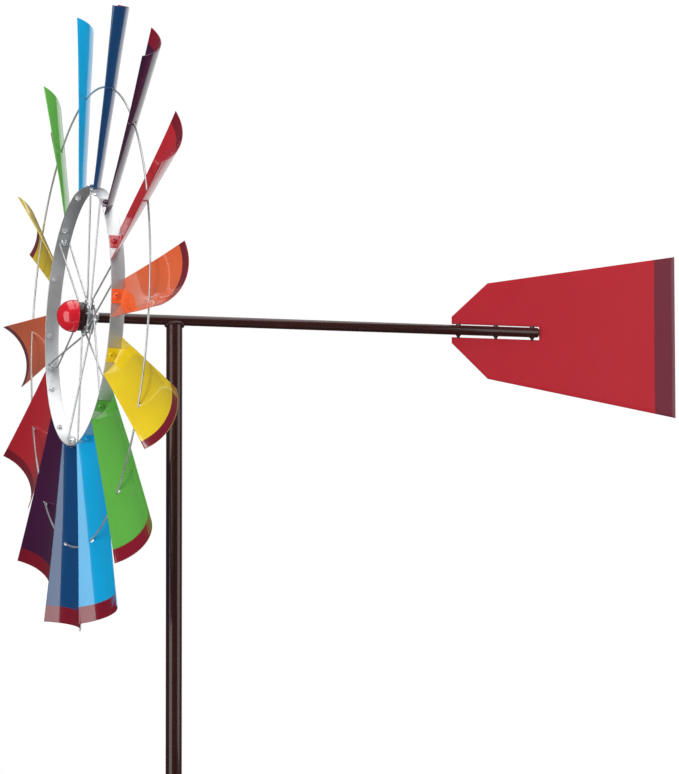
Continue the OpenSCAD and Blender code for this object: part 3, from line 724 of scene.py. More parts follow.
def blade_sheet(i):
    """One blade's points, quads and UV pairs. Its outline tapers from the root chord to the tip chord, and its
    grid opens round an elliptical hole for the tie ring. V is the distance from the tip on the hollow front
    face, and one more than that on the back and in the hole."""
    w = bpy.context.scene.windmill_wheel
    span = (w.tip_radius - w.rim_radius) / math.cos(w.lean)
    taper = (w.tip_chord - w.root_chord) / span
    hole_across, hole_out, hole_long, hole_half = tie_hole()
    half_there = (w.root_chord + taper * hole_out) / 2
    columns, c0, c1 = with_block(2 * eased(26, w.sheet / 2, w.root_chord) - 1, hole_across / half_there,
                                 HOLE_SQUARE * hole_long / half_there)
    rows, r0, r1 = with_block(eased(44, w.sheet / 2, span), hole_out / span, HOLE_SQUARE * hole_half / span)
    s, t = np.meshgrid(columns, rows)
    out = t * span
    across = s * (w.root_chord + taper * out) / 2
    qa, qo = (across - hole_across) / hole_long, (out - hole_out) / hole_half
    moved = opened(qa, qo)
    across, out = hole_across + hole_long * qa * moved, hole_out + hole_half * qo * moved
    (front, along), (back, _) = blade_skins(i, s, t, across, out, np.hypot(qa, qo))

    index = np.arange(s.size).reshape(s.shape)
    second = index + s.size
    second[0], second[-1], second[:, 0], second[:, -1] = index[0], index[-1], index[:, 0], index[:, -1]
    quads = lattice(*s.shape)
    row, column = np.divmod(np.arange(len(quads)), s.shape[1] - 1)
    quads = quads[~((row >= r0) & (row < r1) & (column >= c0) & (column < c1))]
    loop = np.concatenate([index[r0, c0:c1], index[r0:r1, c1], index[r1, c1:c0:-1], index[r1:r0:-1, c0]])
    wall = np.stack([loop, np.roll(loop, -1), second.ravel()[np.roll(loop, -1)], second.ravel()[loop]], -1)
    tip = np.stack([s, span - along], -1).reshape(-1, 2)
    uv = np.concatenate([tip[quads], tip[quads] + [0, 1], tip[np.stack([loop] * 4, -1)] + [0, 1]])
    points = np.concatenate([front.reshape(-1, 3), back.reshape(-1, 3)])
    return points, np.concatenate([quads, second.ravel()[quads][:, ::-1], wall]), uv


def blade_foot(i):
    """A blade's foot: a shell of the rim's curvature from the front edge of the rim back to the sheet, at
    sideways place x, radius r and station z, closed all round, with a bend up into the sheet."""
    w = bpy.context.scene.windmill_wheel
    x0, z0 = camber_axis()
    gap, front_gap, foot_length = 0.00002, 0.0005, 0.012
    bend_start, bend_rise = 0.72, 0.0016
    x = w.foot_shift + w.foot_width / 2 * (2 * eased(12, EDGE_ROLL, w.foot_width) - 1)
    fore = w.rim_station + w.rim_width / 2 - front_gap
    aft = z0 - np.sqrt((w.camber_radius + w.sheet / 2) ** 2 - (x - x0) ** 2)
    t = eased(9, EDGE_ROLL, foot_length)
    bend = bend_rise * np.clip((t - bend_start) / (1 - bend_start), 0, 1) ** 2

    def skin(r):
        z = fore + (aft - fore) * t[:, None]
        xs = np.broadcast_to(x, z.shape)
        return beside_blade(i, xs, np.sqrt((r + bend[:, None]) ** 2 - xs**2), z)

    upper, lower = skin(w.rim_radius + w.foot_thick), skin(w.rim_radius + gap)
    rows, columns = upper.shape[:2]
    count = rows * columns
    quads = lattice(rows, columns)
    index = np.arange(count).reshape(rows, columns)
    edge = np.concatenate([index[0, :-1], index[:-1, -1], index[-1, :0:-1], index[:0:-1, 0]])
    sides = np.stack([edge, np.roll(edge, -1), np.roll(edge, -1) + count, edge + count], -1)
    points = np.concatenate([upper.reshape(-1, 3), lower.reshape(-1, 3)])
    return points, np.concatenate([quads, quads + count, sides])


class WINDMILL_OT_blades(Operator):
    """Make the fourteen cambered blades with their feet, tie-ring holes and burgundy tips"""

    bl_idname = "windmill.blades"
    bl_label = "Blades"

    def execute(self, context):
        unbanded = [0.0, 1.5]  # UV of the feet, further from the tip than any band
        for i in range(BLADE_COUNT):
            paint = BLADE_PAINTS[i % len(BLADE_PAINTS)]
            node = f"blade_{paint}_{i // len(BLADE_PAINTS) + 1}"
            points, quads, uv = blade_sheet(i)
            foot_points, foot_quads = blade_foot(i)
            foot_uv = np.broadcast_to(unbanded, (foot_quads.size, 2))
            add_piece(
                node + "_sheet",
                np.concatenate([points, foot_points]),
                np.concatenate([quads, foot_quads + len(points)]),
                "wheel",
                [node],
                paint + "_paint",
                uv=np.concatenate([uv.reshape(-1, 2), foot_uv]),
                sharp=50.0,
            )
        return {"FINISHED"}


# ---------------------------------------------------------------------------------------------
# Rim, spokes and their fasteners

SEAT_GAP = 0.00005  # between the rim's inner face and what lies on it
EYE_GAP = 0.0002  # height that a spoke's eye takes beyond its wire
STUD_RADIUS = 0.0015  # thread radius of the blade bolts and the spoke studs
STUD_PROUD = 0.0032  # length of thread past a seat, nut included
NUT_BORE, NUT_FLATS, NUT_HEIGHT = 0.0014, 0.0055, 0.0022
BOLT_HEAD, BOLT_RISE = 0.0029, 0.0018


def spoke_angle(i):
    """The clockwise angle of a pair of spokes at the rim."""
    return bpy.context.scene.windmill_wheel.spoke_phase + i * TAU / SPOKE_PAIRS


def rim_band():
    """The rim: a rounded rectangle turned round the axle."""
    w = bpy.context.scene.windmill_wheel
    low, high = w.rim_station - w.rim_width / 2, w.rim_station + w.rim_width / 2
    band = Shape()
    edges = box_profile(w.rim_radius - w.rim_wall, w.rim_radius, low, high, 0.0003, 5)
    band.lathe(edges, AXLE_POINT, FORWARD, UP, sides=288)
    band.piece("rim_band_rolled", "wheel", ["rim_band"], "galvanised_wire", 60.0, "rim_steel")


def tie_ring():
    """The tie ring: a wire round the axle, which swells by a bell curve at its one butt weld."""
    w = bpy.context.scene.windmill_wheel
    weld_angle, weld_run, weld_rise, weld_dip = 0.31, 0.0012, 0.0001, 0.00015
    x0, z0 = camber_axis()
    depth = math.sqrt(w.camber_radius**2 - (w.hole_shift - x0) ** 2)
    station = z0 - (w.tie_radius - w.rim_radius) * math.tan(w.lean) - depth
    a = np.linspace(0, TAU, 480, endpoint=False)
    weld = np.exp(-(((a - weld_angle + math.pi) % TAU - math.pi) * w.tie_radius / weld_run) ** 2)
    path = round_axle(a, w.tie_radius - weld_dip * weld, station)
    ring = Shape()
    ring.sweep(path, w.tie_wire / 2 + weld_rise * weld, FORWARD, sides=12, closed=True)
    ring.piece("tie_ring_wire", "wheel", ["tie_ring"], "galvanised_wire")


class WINDMILL_OT_rim(Operator):
    """Make the rim band with its rolled edges, and the tie ring with its butt weld"""

    bl_idname = "windmill.rim"
    bl_label = "Rim and tie ring"

    def execute(self, context):
        rim_band()
        tie_ring()
        return {"FINISHED"}


def spoke_paths(side):
    """The centre lines of one set of spokes: through the flange, out to the rim, along it and round the stud.
    The front flange's set has its eyes next to the rim, and the rear flange's set has them on top of those."""
    w = bpy.context.scene.windmill_wheel
    wire, plate, hook = w.spoke_wire / 2, 0.0015, 0.0015
    layer = 0.5 if side > 0 else 1.5
    r = w.rim_radius - w.rim_wall - SEAT_GAP - layer * (w.spoke_wire + EYE_GAP)
    face = w.flange_front if side > 0 else w.flange_rear + plate
    edge_gap, eye_radius, bend = 0.0009, 0.0024, 0.0021
    edge = w.rim_width / 2 - wire - edge_gap
    turn = np.linspace(0, math.radians(318), 26)[:, None]
    for i in range(SPOKE_PAIRS):
        a = spoke_angle(i)
        hub = round_axle(a + side * w.spoke_wrap, w.spoke_hole, face - side * wire)
        tip = hub + FORWARD * side * (wire + plate + hook)
        heel = round_axle(a, r, w.rim_station - side * edge)
        clockwise = math.cos(a) * SIDE - math.sin(a) * UP
        middle = round_axle(a, r, w.rim_station)
        eye = middle - side * eye_radius * np.cos(turn) * FORWARD + eye_radius * np.sin(turn) * clockwise
        lead = rounded_path([tip, hub, heel, eye[0]], bend)
        hint = unit(outward(a) * 0.8 + clockwise * 0.45 + FORWARD * 0.5)
        yield np.concatenate([lead[:-1], eye]), hint


class WINDMILL_OT_spokes(Operator):
    """Make both sets of bent-wire spokes, hooked through the flanges and looped round the rim studs"""

    bl_idname = "windmill.spokes"
    bl_label = "Spokes"

    def execute(self, context):
        radius = context.scene.windmill_wheel.spoke_wire / 2
        for name, side in (("spokes_front", 1), ("spokes_rear", -1)):
            wires = Shape()
            for path, hint in spoke_paths(side):
                wires.sweep(path, radius, hint, sides=12)
            wires.piece(name + "_wire", "wheel", [name], "galvanised_wire")
        return {"FINISHED"}


def hex_nut(shape, at, axis, across, seat):
    """Adds a chamfered hexagonal nut whose outer face lies on a seat and which stands inwards from it."""
    profile = nut_profile(NUT_BORE, NUT_FLATS, seat - NUT_HEIGHT, seat)
    shape.lathe(profile, at, axis, across, 36, hexagon(NUT_FLATS))


class WINDMILL_OT_wheel_fasteners(Operator):
    """Make the blades' cross-head bolts, the rim studs and every hexagonal nut inside the rim"""

    bl_idname = "windmill.wheel_fasteners"
    bl_label = "Bolts, studs and nuts"

    def execute(self, context):
        w = context.scene.windmill_wheel
        inside = w.rim_radius - w.rim_wall
        seat, top = inside - SEAT_GAP, w.rim_radius + w.foot_thick
        foot = math.asin(w.foot_shift / w.rim_radius)
        ahead, bolt_end, turn_step = 0.002, 0.0034, 0.7
        recess = cross_recess(top, BOLT_RISE, 0.0017, 0.00042)
        shanks, nuts, studs, stud_nuts = Shape(), Shape(), Shape(), Shape()
        at = AXLE_POINT + (w.rim_station + ahead) * FORWARD
        for i in range(BLADE_COUNT):
            out = outward(blade_angle(i) + foot)
            turn = unit(FORWARD * math.cos(turn_step * i) + np.cross(out, FORWARD) * math.sin(turn_step * i))
            head = Shape()
            head.lathe(pan_profile(BOLT_HEAD, top, BOLT_RISE), at, out, turn, 40, recess)
            shanks.lathe(thread_profile(STUD_RADIUS, top, inside - bolt_end), at, out, turn, 20)
            hex_nut(nuts, at, out, turn, seat)
            head.piece(f"blade_bolt_{i + 1}_cross_head", "wheel", ["blade_bolts"], "zinc_hardware", 32.0,
                       BLADE_PAINTS[i % len(BLADE_PAINTS)] + "_head")
        at = AXLE_POINT + w.rim_station * FORWARD
        stack = seat - 2 * (w.spoke_wire + EYE_GAP)
        for i in range(SPOKE_PAIRS):
            out = outward(spoke_angle(i))
            studs.lathe(thread_profile(STUD_RADIUS, inside + 0.0001, stack - STUD_PROUD), at, out, FORWARD, 20)
            hex_nut(stud_nuts, at, out, FORWARD, stack)
        shanks.piece("blade_bolt_shanks", "wheel", ["blade_bolts"], "zinc_hardware", 32.0, "rim_steel")
        nuts.piece("blade_nuts_hex", "wheel", ["blade_nuts"], "zinc_hardware", 25.0, "rim_steel")
        studs.piece("spoke_studs_threaded", "wheel", ["spoke_studs"], "zinc_hardware", 32.0)
        stud_nuts.piece("spoke_nuts_hex", "wheel", ["spoke_nuts"], "zinc_hardware", 25.0)
        return {"FINISHED"}


# ---------------------------------------------------------------------------------------------
# Nose cap and collar


def arc(x, y, rx, ry, start, end, steps):
    """Points (x + rx cos a, y + ry sin a) for angles a between two, as an array of pairs."""
    a = np.linspace(start, end, steps)
    return np.stack([x + rx * np.cos(a), y + ry * np.sin(a)], -1)


def nose_cap():
    """The cap: a tube with a half ball in front, its inside parallel to its outside, and a round rear lip."""
    b = bpy.context.scene.windmill_body
    r, inner = b.cap_radius, b.cap_radius - b.cap_wall
    middle = b.cap_back + b.cap_length - r
    dome = arc(0, middle, r, r, math.pi / 2, 0, 28)
    hollow = arc(0, middle, inner, inner, 0, math.pi / 2, 28)
    lip_radius = b.cap_wall / 2
    lip = arc(r - lip_radius, b.cap_back + lip_radius, lip_radius, -lip_radius, 0, math.pi, 9)
    profile = np.concatenate([dome, lip, hollow])
    profile[0, 0] = profile[-1, 0] = 0.0
    cap = Shape()
    cap.lathe(profile, AXLE_POINT, FORWARD, UP, 96)
    cap.piece("nose_cap_dome", "wheel", ["nose_cap"], "cap_red", 50.0)


def cap_collar():
    """The collar: a bored neck, a disc with rolled edges, and a spigot that stands inside the cap."""
    b = bpy.context.scene.windmill_body
    bore, neck, disc = 0.0082, 0.0105, b.cap_radius - 0.0018
    roll, neck_length, spigot_length, spigot_wall = 0.0005, 0.0022, 0.0028, 0.0013
    start, back = b.collar_back, b.cap_back
    step = start + neck_length
    spigot = b.cap_radius - b.cap_wall - 0.0001
    outer = np.concatenate([
        [(bore, start + roll), (bore + roll, start), (neck - roll, start), (neck, start + roll)],
        [(neck, step - roll), (neck + roll, step)],
        arc(disc - roll, step + roll, roll, roll, -math.pi / 2, 0, 5),
        arc(disc - roll, back - roll, roll, roll, 0, math.pi / 2, 5),
        [(spigot, back + 0.0001), (spigot, back + spigot_length), (spigot - spigot_wall, back + spigot_length)],
        [(spigot - spigot_wall - 0.0002, back), (bore, back)],
    ])
    collar = Shape()
    collar.lathe(outer, AXLE_POINT, FORWARD, UP, 72)
    collar.piece("cap_collar_turned", "wheel", ["cap_collar"], "brown_paint")


class WINDMILL_OT_nose(Operator):
    """Make the domed nose cap and the stepped collar behind it"""

    bl_idname = "windmill.nose"
    bl_label = "Nose cap and collar"

    def execute(self, context):
        nose_cap()
        cap_collar()
        return {"FINISHED"}


# ---------------------------------------------------------------------------------------------
# Boom, mast and vane


def along_y(y):
    """A point on the boom's axis."""
    return np.array([0.0, y, BOOM_HEIGHT])


def boom_tube():
    """The boom: an open tube with rounded ends."""
    b = bpy.context.scene.windmill_body
    low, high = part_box("boom")
    tube = Shape()
    tube.lathe(box_profile(b.boom_radius - b.boom_wall, b.boom_radius, low[1], high[1], 0.0003),
               along_y(0), (0, 1, 0), (0, 0, 1), 64)
    tube.piece("boom_tube", "head", ["boom"], "brown_paint")


def boom_plug():
    """The plug: a chamfered spigot in the boom and a flattened dome over its end."""
    b = bpy.context.scene.windmill_body
    face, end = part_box("boom")[1][1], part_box("boom_plug")[1][1]
    inner = b.boom_radius - b.boom_wall
    depth, chamfer = 0.012, 0.0004
    turn = np.linspace(0, math.pi / 2, 8)
    dome = np.stack([b.boom_radius * np.cos(turn) ** 0.6, face + (end - face) * np.sin(turn)], -1)
    spigot = [(0, face - depth), (inner - chamfer, face - depth), (inner, face - depth + chamfer),
              (inner, face), (b.boom_radius, face)]
    plug = Shape()
    plug.lathe(np.concatenate([spigot, dome[1:-1], [(0, end)]]), along_y(0), (0, 1, 0), (0, 0, 1), 48)
    plug.piece("boom_plug_domed", "head", ["boom_plug"], "black_nylon")


def mast_tube():
    """The mast: an open tube whose upper end is cut to the boom's round underside."""
    b = bpy.context.scene.windmill_body
    foot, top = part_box("mast")[0][2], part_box("mast")[1][2]

    def saddle(a, r, h):
        x = np.abs(r * np.sin(a))
        under = BOOM_HEIGHT - np.sqrt(np.maximum(b.boom_radius**2 - x**2, 0))
        return r, np.where(h > foot + 0.01, np.minimum(h, np.maximum(under, foot + 0.02)), h)

    mast = Shape()
    mast.lathe(box_profile(b.pole_radius - b.pole_wall, b.pole_radius, foot, top, 0.00025),
               (0, 0, 0), (0, 0, 1), (0, 1, 0), 96, saddle)
    mast.piece("mast_tube", "head", ["mast"], "brown_paint")


def boom_weld():
    """The weld: a rippled bead that follows the mast's upper end over the boom's side."""
    b = bpy.context.scene.windmill_body
    top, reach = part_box("mast")[1][2], 0.0046
    a = np.linspace(0, TAU, 160, endpoint=False)
    x, y = (b.pole_radius - 0.0006) * np.sin(a), (b.pole_radius + 0.0001) * np.cos(a)
    drop = np.sqrt(np.maximum((b.boom_radius + 0.0004) ** 2 - np.minimum(np.abs(x), reach) ** 2, 0))
    path = np.stack([x, y, np.minimum(BOOM_HEIGHT - drop, top) - 0.0002], -1)
    ripple = 1 + 0.10 * np.cos(32 * a) + 0.05 * np.sin(5 * a + 1.0)
    bead = Shape()
    bead.sweep(path, b.bead * 0.8 * ripple, (0, 0, 1), 16, closed=True)
    bead.piece("boom_weld_bead", "head", ["boom_weld"], "brown_paint", 60.0)


class WINDMILL_OT_boom(Operator):
    """Make the boom tube with its end plug, the mast saddled under it and the weld bead between them"""

    bl_idname = "windmill.boom"
    bl_label = "Boom and mast"

    def execute(self, context):
        boom_tube()
        boom_plug()
        mast_tube()
        boom_weld()
        return {"FINISHED"}


def tail_vane():
    """The vane: five grids between its outline and the slot's edges, bowed sideways by slow waves, joined where
    they meet, and then given their thickness and a rolled edge."""
    b = bpy.context.scene.windmill_body
    bow_height, flat_edge, fade, slot_fade, rolled = 0.00035, 0.004, 0.03, 0.05, 0.0003
    low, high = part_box("tail_vane")
    start, end, half = low[1], high[1], (high[2] - low[2]) / 2
    shoulder, slot = start + b.vane_shoulder_run, b.slot_end

    def outline(y):
        return np.interp(y, [start, shoulder, end], [b.vane_nose, b.vane_shoulder, half])

    def leaf(y, z0, z1, rows):
        """A grid over y and even shares of the way between two heights."""
        z = z0(y) + (z1(y) - z0(y)) * np.linspace(0, 1, rows)[:, None]
        y = np.broadcast_to(y, z.shape)
        calm = np.clip((half - flat_edge - np.abs(z)) / fade, 0, 1) * np.clip((end - y) / fade, 0, 1)
        calm = calm * np.clip((y - slot) / slot_fade, 0, 1)
        bow = bow_height * np.sin(21 * y + 0.4) * np.cos(26 * z + 0.7) * calm
        return np.stack([bow, y, BOOM_HEIGHT + z], -1)

    above, below = b.boom_radius + b.slot_above, b.boom_radius + b.slot_below
    edge = float(outline(slot))
    beside = np.unique(np.concatenate([np.linspace(start, shoulder, 9), np.linspace(shoulder, slot, 14)]))
    behind = np.linspace(slot, end, 34)

    def upper(y):
        return above * outline(y) / edge

    def lower(y):
        return -below * outline(y) / edge

    def under(y):
        return -outline(y)

    sheet = Shape()
    sheet.grid(leaf(beside, lambda y: above + 0 * y, outline, 12))
    sheet.grid(leaf(beside, lambda y: -below + 0 * y, under, 12))
    for z0, z1, rows in ((upper, outline, 12), (lower, under, 12), (lower, upper, 5)):
        sheet.grid(leaf(behind, z0, z1, rows))
    points, quads = np.concatenate(sheet.points), np.concatenate(sheet.quads)
    _, first, same = np.unique(np.round(points, 7), axis=0, return_index=True, return_inverse=True)
    vane = add_piece("tail_vane_sheet", points[first], same.reshape(-1)[quads], "head", ["tail_vane"],
                     "vane_paint")
    wall = vane.modifiers.new("Sheet", "SOLIDIFY")
    wall.thickness, wall.offset = b.vane_sheet, 0.0
    soft = vane.modifiers.new("Rolled edge", "BEVEL")
    soft.width, soft.segments, soft.limit_method, soft.angle_limit = rolled, 2, "ANGLE", math.radians(60)


def vane_pins():
    """The pins: chamfered upright rods with a weld's flare at the boom, three above it and three below."""
    b = bpy.context.scene.windmill_body
    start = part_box("tail_vane")[0][1]
    lowest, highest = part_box("vane_pins")[0][2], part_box("vane_pins")[1][2]
    r, foot = 0.0016, b.boom_radius
    flare = [(0, foot - 0.001), (r + 0.0016, foot - 0.001), (r + 0.0011, foot + 0.0002),
             (r + 0.0003, foot + 0.0009), (r, foot + 0.0016)]
    pins = Shape()
    for y in (b.pin_first, b.pin_second, b.pin_third):
        for side, reach in ((-1, BOOM_HEIGHT - lowest), (1, highest - BOOM_HEIGHT)):
            end = [(r, reach - 0.0005), (r - 0.0002, reach - 0.0001), (r - 0.0006, reach), (0, reach)]
            pins.lathe(flare + end, along_y(start + y), (0, 0, side), (1, 0, 0), 20)
    pins.piece("vane_pins_welded", "head", ["vane_pins"], "brown_paint")


class WINDMILL_OT_vane(Operator):
    """Make the tail vane with its slot round the boom, and the welded pins that carry it"""

    bl_idname = "windmill.vane"
    bl_label = "Tail vane"

    def execute(self, context):
        tail_vane()
        vane_pins()
        return {"FINISHED"}


# ---------------------------------------------------------------------------------------------
# Pole and stake


def pole_tube(node):
    """One of the pole's tubes, open at both ends."""
    b = bpy.context.scene.windmill_body
    low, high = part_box(node)
    tube = Shape()
    tube.lathe(box_profile(b.pole_radius - b.pole_wall, b.pole_radius, low[2], high[2], 0.0004),
               (0, 0, 0), (0, 0, 1), (1, 0, 0), 96)
    tube.piece(node + "_tube", "base", [node], "brown_paint")


def joint_screws():
    """The joint's screws: pan heads with a cross, outside the pole, each turned a little differently."""
    b = bpy.context.scene.windmill_body
    low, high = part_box("joint_screws")
    head, height = (high[1] - low[1]) / 2, high[0] - b.pole_radius
    recess = cross_recess(b.pole_radius, height, 0.0021, 0.0005)
    screws = Shape()
    for z in (low[2] + head, high[2] - head):
        across = (0, math.cos(z), math.sin(z))
        screws.lathe(pan_profile(head, b.pole_radius, height, 0.0006), (0, 0, z), (1, 0, 0), across, 40, recess)
        screws.lathe(thread_profile(0.002, b.pole_radius, low[0]), (0, 0, z), (1, 0, 0), (0, 1, 0), 20)
    screws.piece("joint_screws_cross_head", "base", ["joint_screws"], "zinc_hardware", 32.0)


class WINDMILL_OT_pole(Operator):
    """Make the two pole tubes and the cross-head screws of their joint"""

    bl_idname = "windmill.pole"
    bl_label = "Pole"

    def execute(self, context):
        for node in ("pole_upper", "pole_lower"):
            pole_tube(node)
        joint_screws()
        return {"FINISHED"}


def stake_socket():
    """The socket: a tube round the pole's foot, with a rippled weld bead where it stands on the plate."""
    b = bpy.context.scene.windmill_body
    low, high = (np.array(corner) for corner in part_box("stake_socket"))
    outer, clearance, sunk = (high[0] - low[0]) / 2, 0.0001, 0.0004
    socket = Shape()
    socket.lathe(box_profile(b.pole_radius + clearance, outer, low[2], high[2], 0.0006, 5),
                 (0, 0, 0), (0, 0, 1), (1, 0, 0), 72)
    a = np.linspace(0, TAU, 180, endpoint=False)
    path = np.stack([(outer + sunk) * np.cos(a), (outer + sunk) * np.sin(a), 0 * a + low[2] + sunk], -1)
    socket.sweep(path, 0.0017 * (1 + 0.12 * np.cos(30 * a)), (0, 0, 1), 14, closed=True)
    socket.piece("stake_socket_welded", "base", ["stake_socket"], "brown_paint", 50.0)


def step_plate():
    """The plate: rings of a rectangle with round corners, drawn in by a quarter circle at both faces."""
    low, high = (np.array(corner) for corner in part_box("step_plate"))
    half, corner, edge = (high - low)[:2] / 2, 0.008, 0.0009
    t = np.linspace(0, math.pi / 2, 9)
    turns = np.concatenate([t, t + math.pi / 2, t + math.pi, t + 3 * math.pi / 2])
    out = np.stack([np.cos(turns), np.sin(turns)], -1)
    centre = np.repeat(np.array([[1, 1], [-1, 1], [-1, -1], [1, -1]]) * (half - corner), 9, 0)
    roll = np.linspace(0, math.pi / 2, 6)
    inset = np.concatenate([edge - edge * np.sin(roll), edge - edge * np.cos(roll)])
    height = np.concatenate([low[2] + edge - edge * np.cos(roll), high[2] - edge + edge * np.sin(roll)])
    ring = centre[None] + (corner - inset)[:, None, None] * out[None]
    levels = np.broadcast_to(height[:, None, None], (len(height), len(turns), 1))
    plate = Shape()
    start = plate.grid(np.concatenate([ring, levels], -1), wrap_columns=True)
    plate.cap(start, len(turns), (0, 0, low[2]))
    plate.cap(start + (len(height) - 1) * len(turns), len(turns), (0, 0, high[2]))
    plate.piece("step_plate_rolled", "base", ["step_plate"], "brown_paint", 50.0)


def ground_prongs():
    """The prongs: round rods with a long blunted point, and a rivet head on top of the plate."""
    b = bpy.context.scene.windmill_body
    plate_low, plate_high = (corner[2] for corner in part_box("step_plate"))
    low, high = (np.array(corner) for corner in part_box("prongs"))
    r, bottom, top = b.prong_radius, low[2], high[2]
    reach = (high - low)[:2] / 2 - b.rivet_radius
    blunt = 0.0008
    quarter = np.linspace(0, math.pi / 2, 5)
    point = np.stack([blunt * np.sin(quarter), bottom + blunt - blunt * np.cos(quarter)], -1)
    rod = [(r, bottom + b.prong_tip), (r, plate_low), (r, plate_low + 0.0001), (r, plate_high + 0.00002)]
    rise = plate_high + (top - plate_high) * np.sin(quarter)
    head = np.stack([b.rivet_radius * np.cos(quarter) ** 0.7, rise], -1)
    profile = np.concatenate([point, rod, head[:-1], [(0, top)]])
    prongs = Shape()
    for x in (-1, 1):
        for y in (-1, 1):
            prongs.lathe(profile, (x * reach[0], y * reach[1], 0), (0, 0, 1), (1, 0, 0), 36)
    prongs.piece("prongs_riveted", "base", ["prongs"], "brown_paint")


def clamp_screw():
    """The clamp screw: a threaded shank and a knob whose rim is drawn in between six lobes."""
    low, high = (np.array(corner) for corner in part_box("clamp_screw"))
    mid, knob, shank = (low[2] + high[2]) / 2, (high[2] - low[2]) / 2, 0.003
    knob_length, rear_roll, face_roll, ridge = 0.010, 0.0015, 0.0025, 0.00022
    face, back = high[0], high[0] - knob_length
    rim = np.concatenate([
        arc(knob - rear_roll, back + rear_roll, rear_roll, rear_roll, -math.pi / 2, 0, 6),
        arc(knob - face_roll, face - face_roll, face_roll, face_roll, 0, math.pi / 2, 6),
    ])
    threads = np.linspace(low[0] + 0.0006, back - 0.0012, 40)
    ridges = np.stack([shank - ridge * (np.arange(40) % 2), threads], -1)
    profile = np.concatenate([
        [(0, low[0]), (shank - 0.0005, low[0])],
        ridges,
        [(shank + 0.0012, back - 0.0009), (shank + 0.0014, back)],
        rim,
        [(knob * 0.45, face - 0.0001), (knob * 0.4, face - 0.0007), (0, face - 0.0009)],
    ])

    def lobes(a, r, h):
        depth = np.clip((r - 0.0055) / 0.002, 0, 1) * (h > back - 0.0001)
        return r * (1 - 0.075 * depth * (1 - np.cos(6 * a)) / 2), h + 0 * a

    screw = Shape()
    screw.lathe(profile, (0, 0, mid), (1, 0, 0), (0, 0, 1), 120, lobes)
    screw.piece("clamp_screw_lobed", "base", ["clamp_screw"], "black_nylon", 45.0)


class WINDMILL_OT_stake(Operator):
    """Make the stake's socket, step plate, prongs with their rivet heads, and the lobed clamp screw"""

    bl_idname = "windmill.stake"
    bl_label = "Ground stake"

    def execute(self, context):
        stake_socket()
        step_plate()
        ground_prongs()
        clamp_screw()
        return {"FINISHED"}


CARRIED = {
    "hub_steel": ("hub_barrel", "front_flange", "rear_flange"),
    "white_nylon": ("front_bush", "rear_bush", "upper_bush"),
    "zinc_hardware": ("front_washer", "rear_washer", "lock_nut"),
    "plain_steel": ("axle_stud", "spindle", "thrust_ball", "thrust_plug", "coupler"),
    "black_nylon": ("lower_bush", "spindle_socket"),
}


class WINDMILL_OT_carried(Operator):
    """Give the frame's own hub, bushes, washers, spindle and plugs their finishes"""

    bl_idname = "windmill.carried"
    bl_label = "Frame finishes"

    def execute(self, context):
        for name, nodes in CARRIED.items():
            for node in nodes:
                for slot in frame["nodes"][node].material_slots:
                    slot.material = finish(name)
        return {"FINISHED"}


# ---------------------------------------------------------------------------------------------
# Stage: floor, sky, lights and camera

FLOOR_RINGS = (0.02, 0.3, 1.0, 3.0, 9.0, 20.0)
FLOOR_SIDES = 96
FLOOR_DROP = 0.0004
# Strength of the white sky: to diffuse rays, to glossy rays and to the camera
SKY = (("Is Diffuse Ray", 0.40), ("Is Glossy Ray", 0.07), ("Is Camera Ray", 1.0))
# Bearing and rise in degrees, distance, width and height, and radiance of each soft box
SOFT_BOXES = {
    "main_box": (26, -8, 3.0, (2.2, 3.7), 3.1),
    "side_box": (143, 6, 3.0, (2.1, 2.4), 2.6),
    "far_box": (-130, 0, 3.0, (2.0, 2.6), 0.75),
    "low_strip": (72.65, -52, 1.5, (2.6, 0.05), 4.0),
    "top_box": (72.65, 86, 2.4, (2.4, 4.6), 2.4),
}
LIT_POINT = Vector((0, 0.02, BOOM_HEIGHT))
CAMERA_BEARING, CAMERA_RISE, CAMERA_ROLL = (math.radians(degrees) for degrees in (72.65, -5.99, -0.10))
CAMERA_DISTANCE = 5.47194
CAMERA_TARGET = np.array([0, 0.17001, BOOM_HEIGHT - 0.06089])
CAMERA_SENSOR, CAMERA_LENS = 36.0, 256.72326


def facing(bearing, rise):
    """The direction at a bearing and a rise, both in radians. Bearing 0 is straight in front, at -Y."""
    return np.array([math.sin(bearing) * math.cos(rise), -math.cos(bearing) * math.cos(rise), math.sin(rise)])


def floor_disc():
    """A wide round floor, as rings of quads round a small polygon."""
    r, a = np.meshgrid(FLOOR_RINGS, np.linspace(0, TAU, FLOOR_SIDES, endpoint=False), indexing="ij")
    points = np.stack([r * np.cos(a), r * np.sin(a), 0 * r - FLOOR_DROP], -1).reshape(-1, 3)
    quads = lattice(len(FLOOR_RINGS), FLOOR_SIDES, wrap_columns=True)
    mesh = bpy.data.meshes.new("studio_floor")
    mesh.from_pydata(points.tolist(), [], quads.tolist() + [list(range(FLOOR_SIDES))])
    mesh.update()
    mesh.materials.append(studio_floor())
    floor = bpy.data.objects.new("studio_floor", mesh)
    bpy.context.scene.collection.objects.link(floor)
    floor.visible_glossy = floor.visible_diffuse = False


def sky():
    """A white sky whose strength depends on the kind of ray that meets it."""
    world = bpy.data.worlds.new("studio")
    bpy.context.scene.world = world
    world.use_nodes = True
    nodes, links = world.node_tree.nodes, world.node_tree.links
    ray_kind = nodes.new("ShaderNodeLightPath")
    strength = None
    for ray, value in SKY:
        choice = nodes.new("ShaderNodeMix")
        choice.data_type = "FLOAT"
        if strength is None:
            choice.inputs[2].default_value = 0.0
        else:
            links.new(strength, choice.inputs[2])
        choice.inputs[3].default_value = value
        links.new(ray_kind.outputs[ray], choice.inputs[0])
        strength = choice.outputs[0]
    shade = nodes["Background"]
    links.new(strength, shade.inputs["Strength"])
    shade.inputs["Color"].default_value = (1, 1, 1, 1)


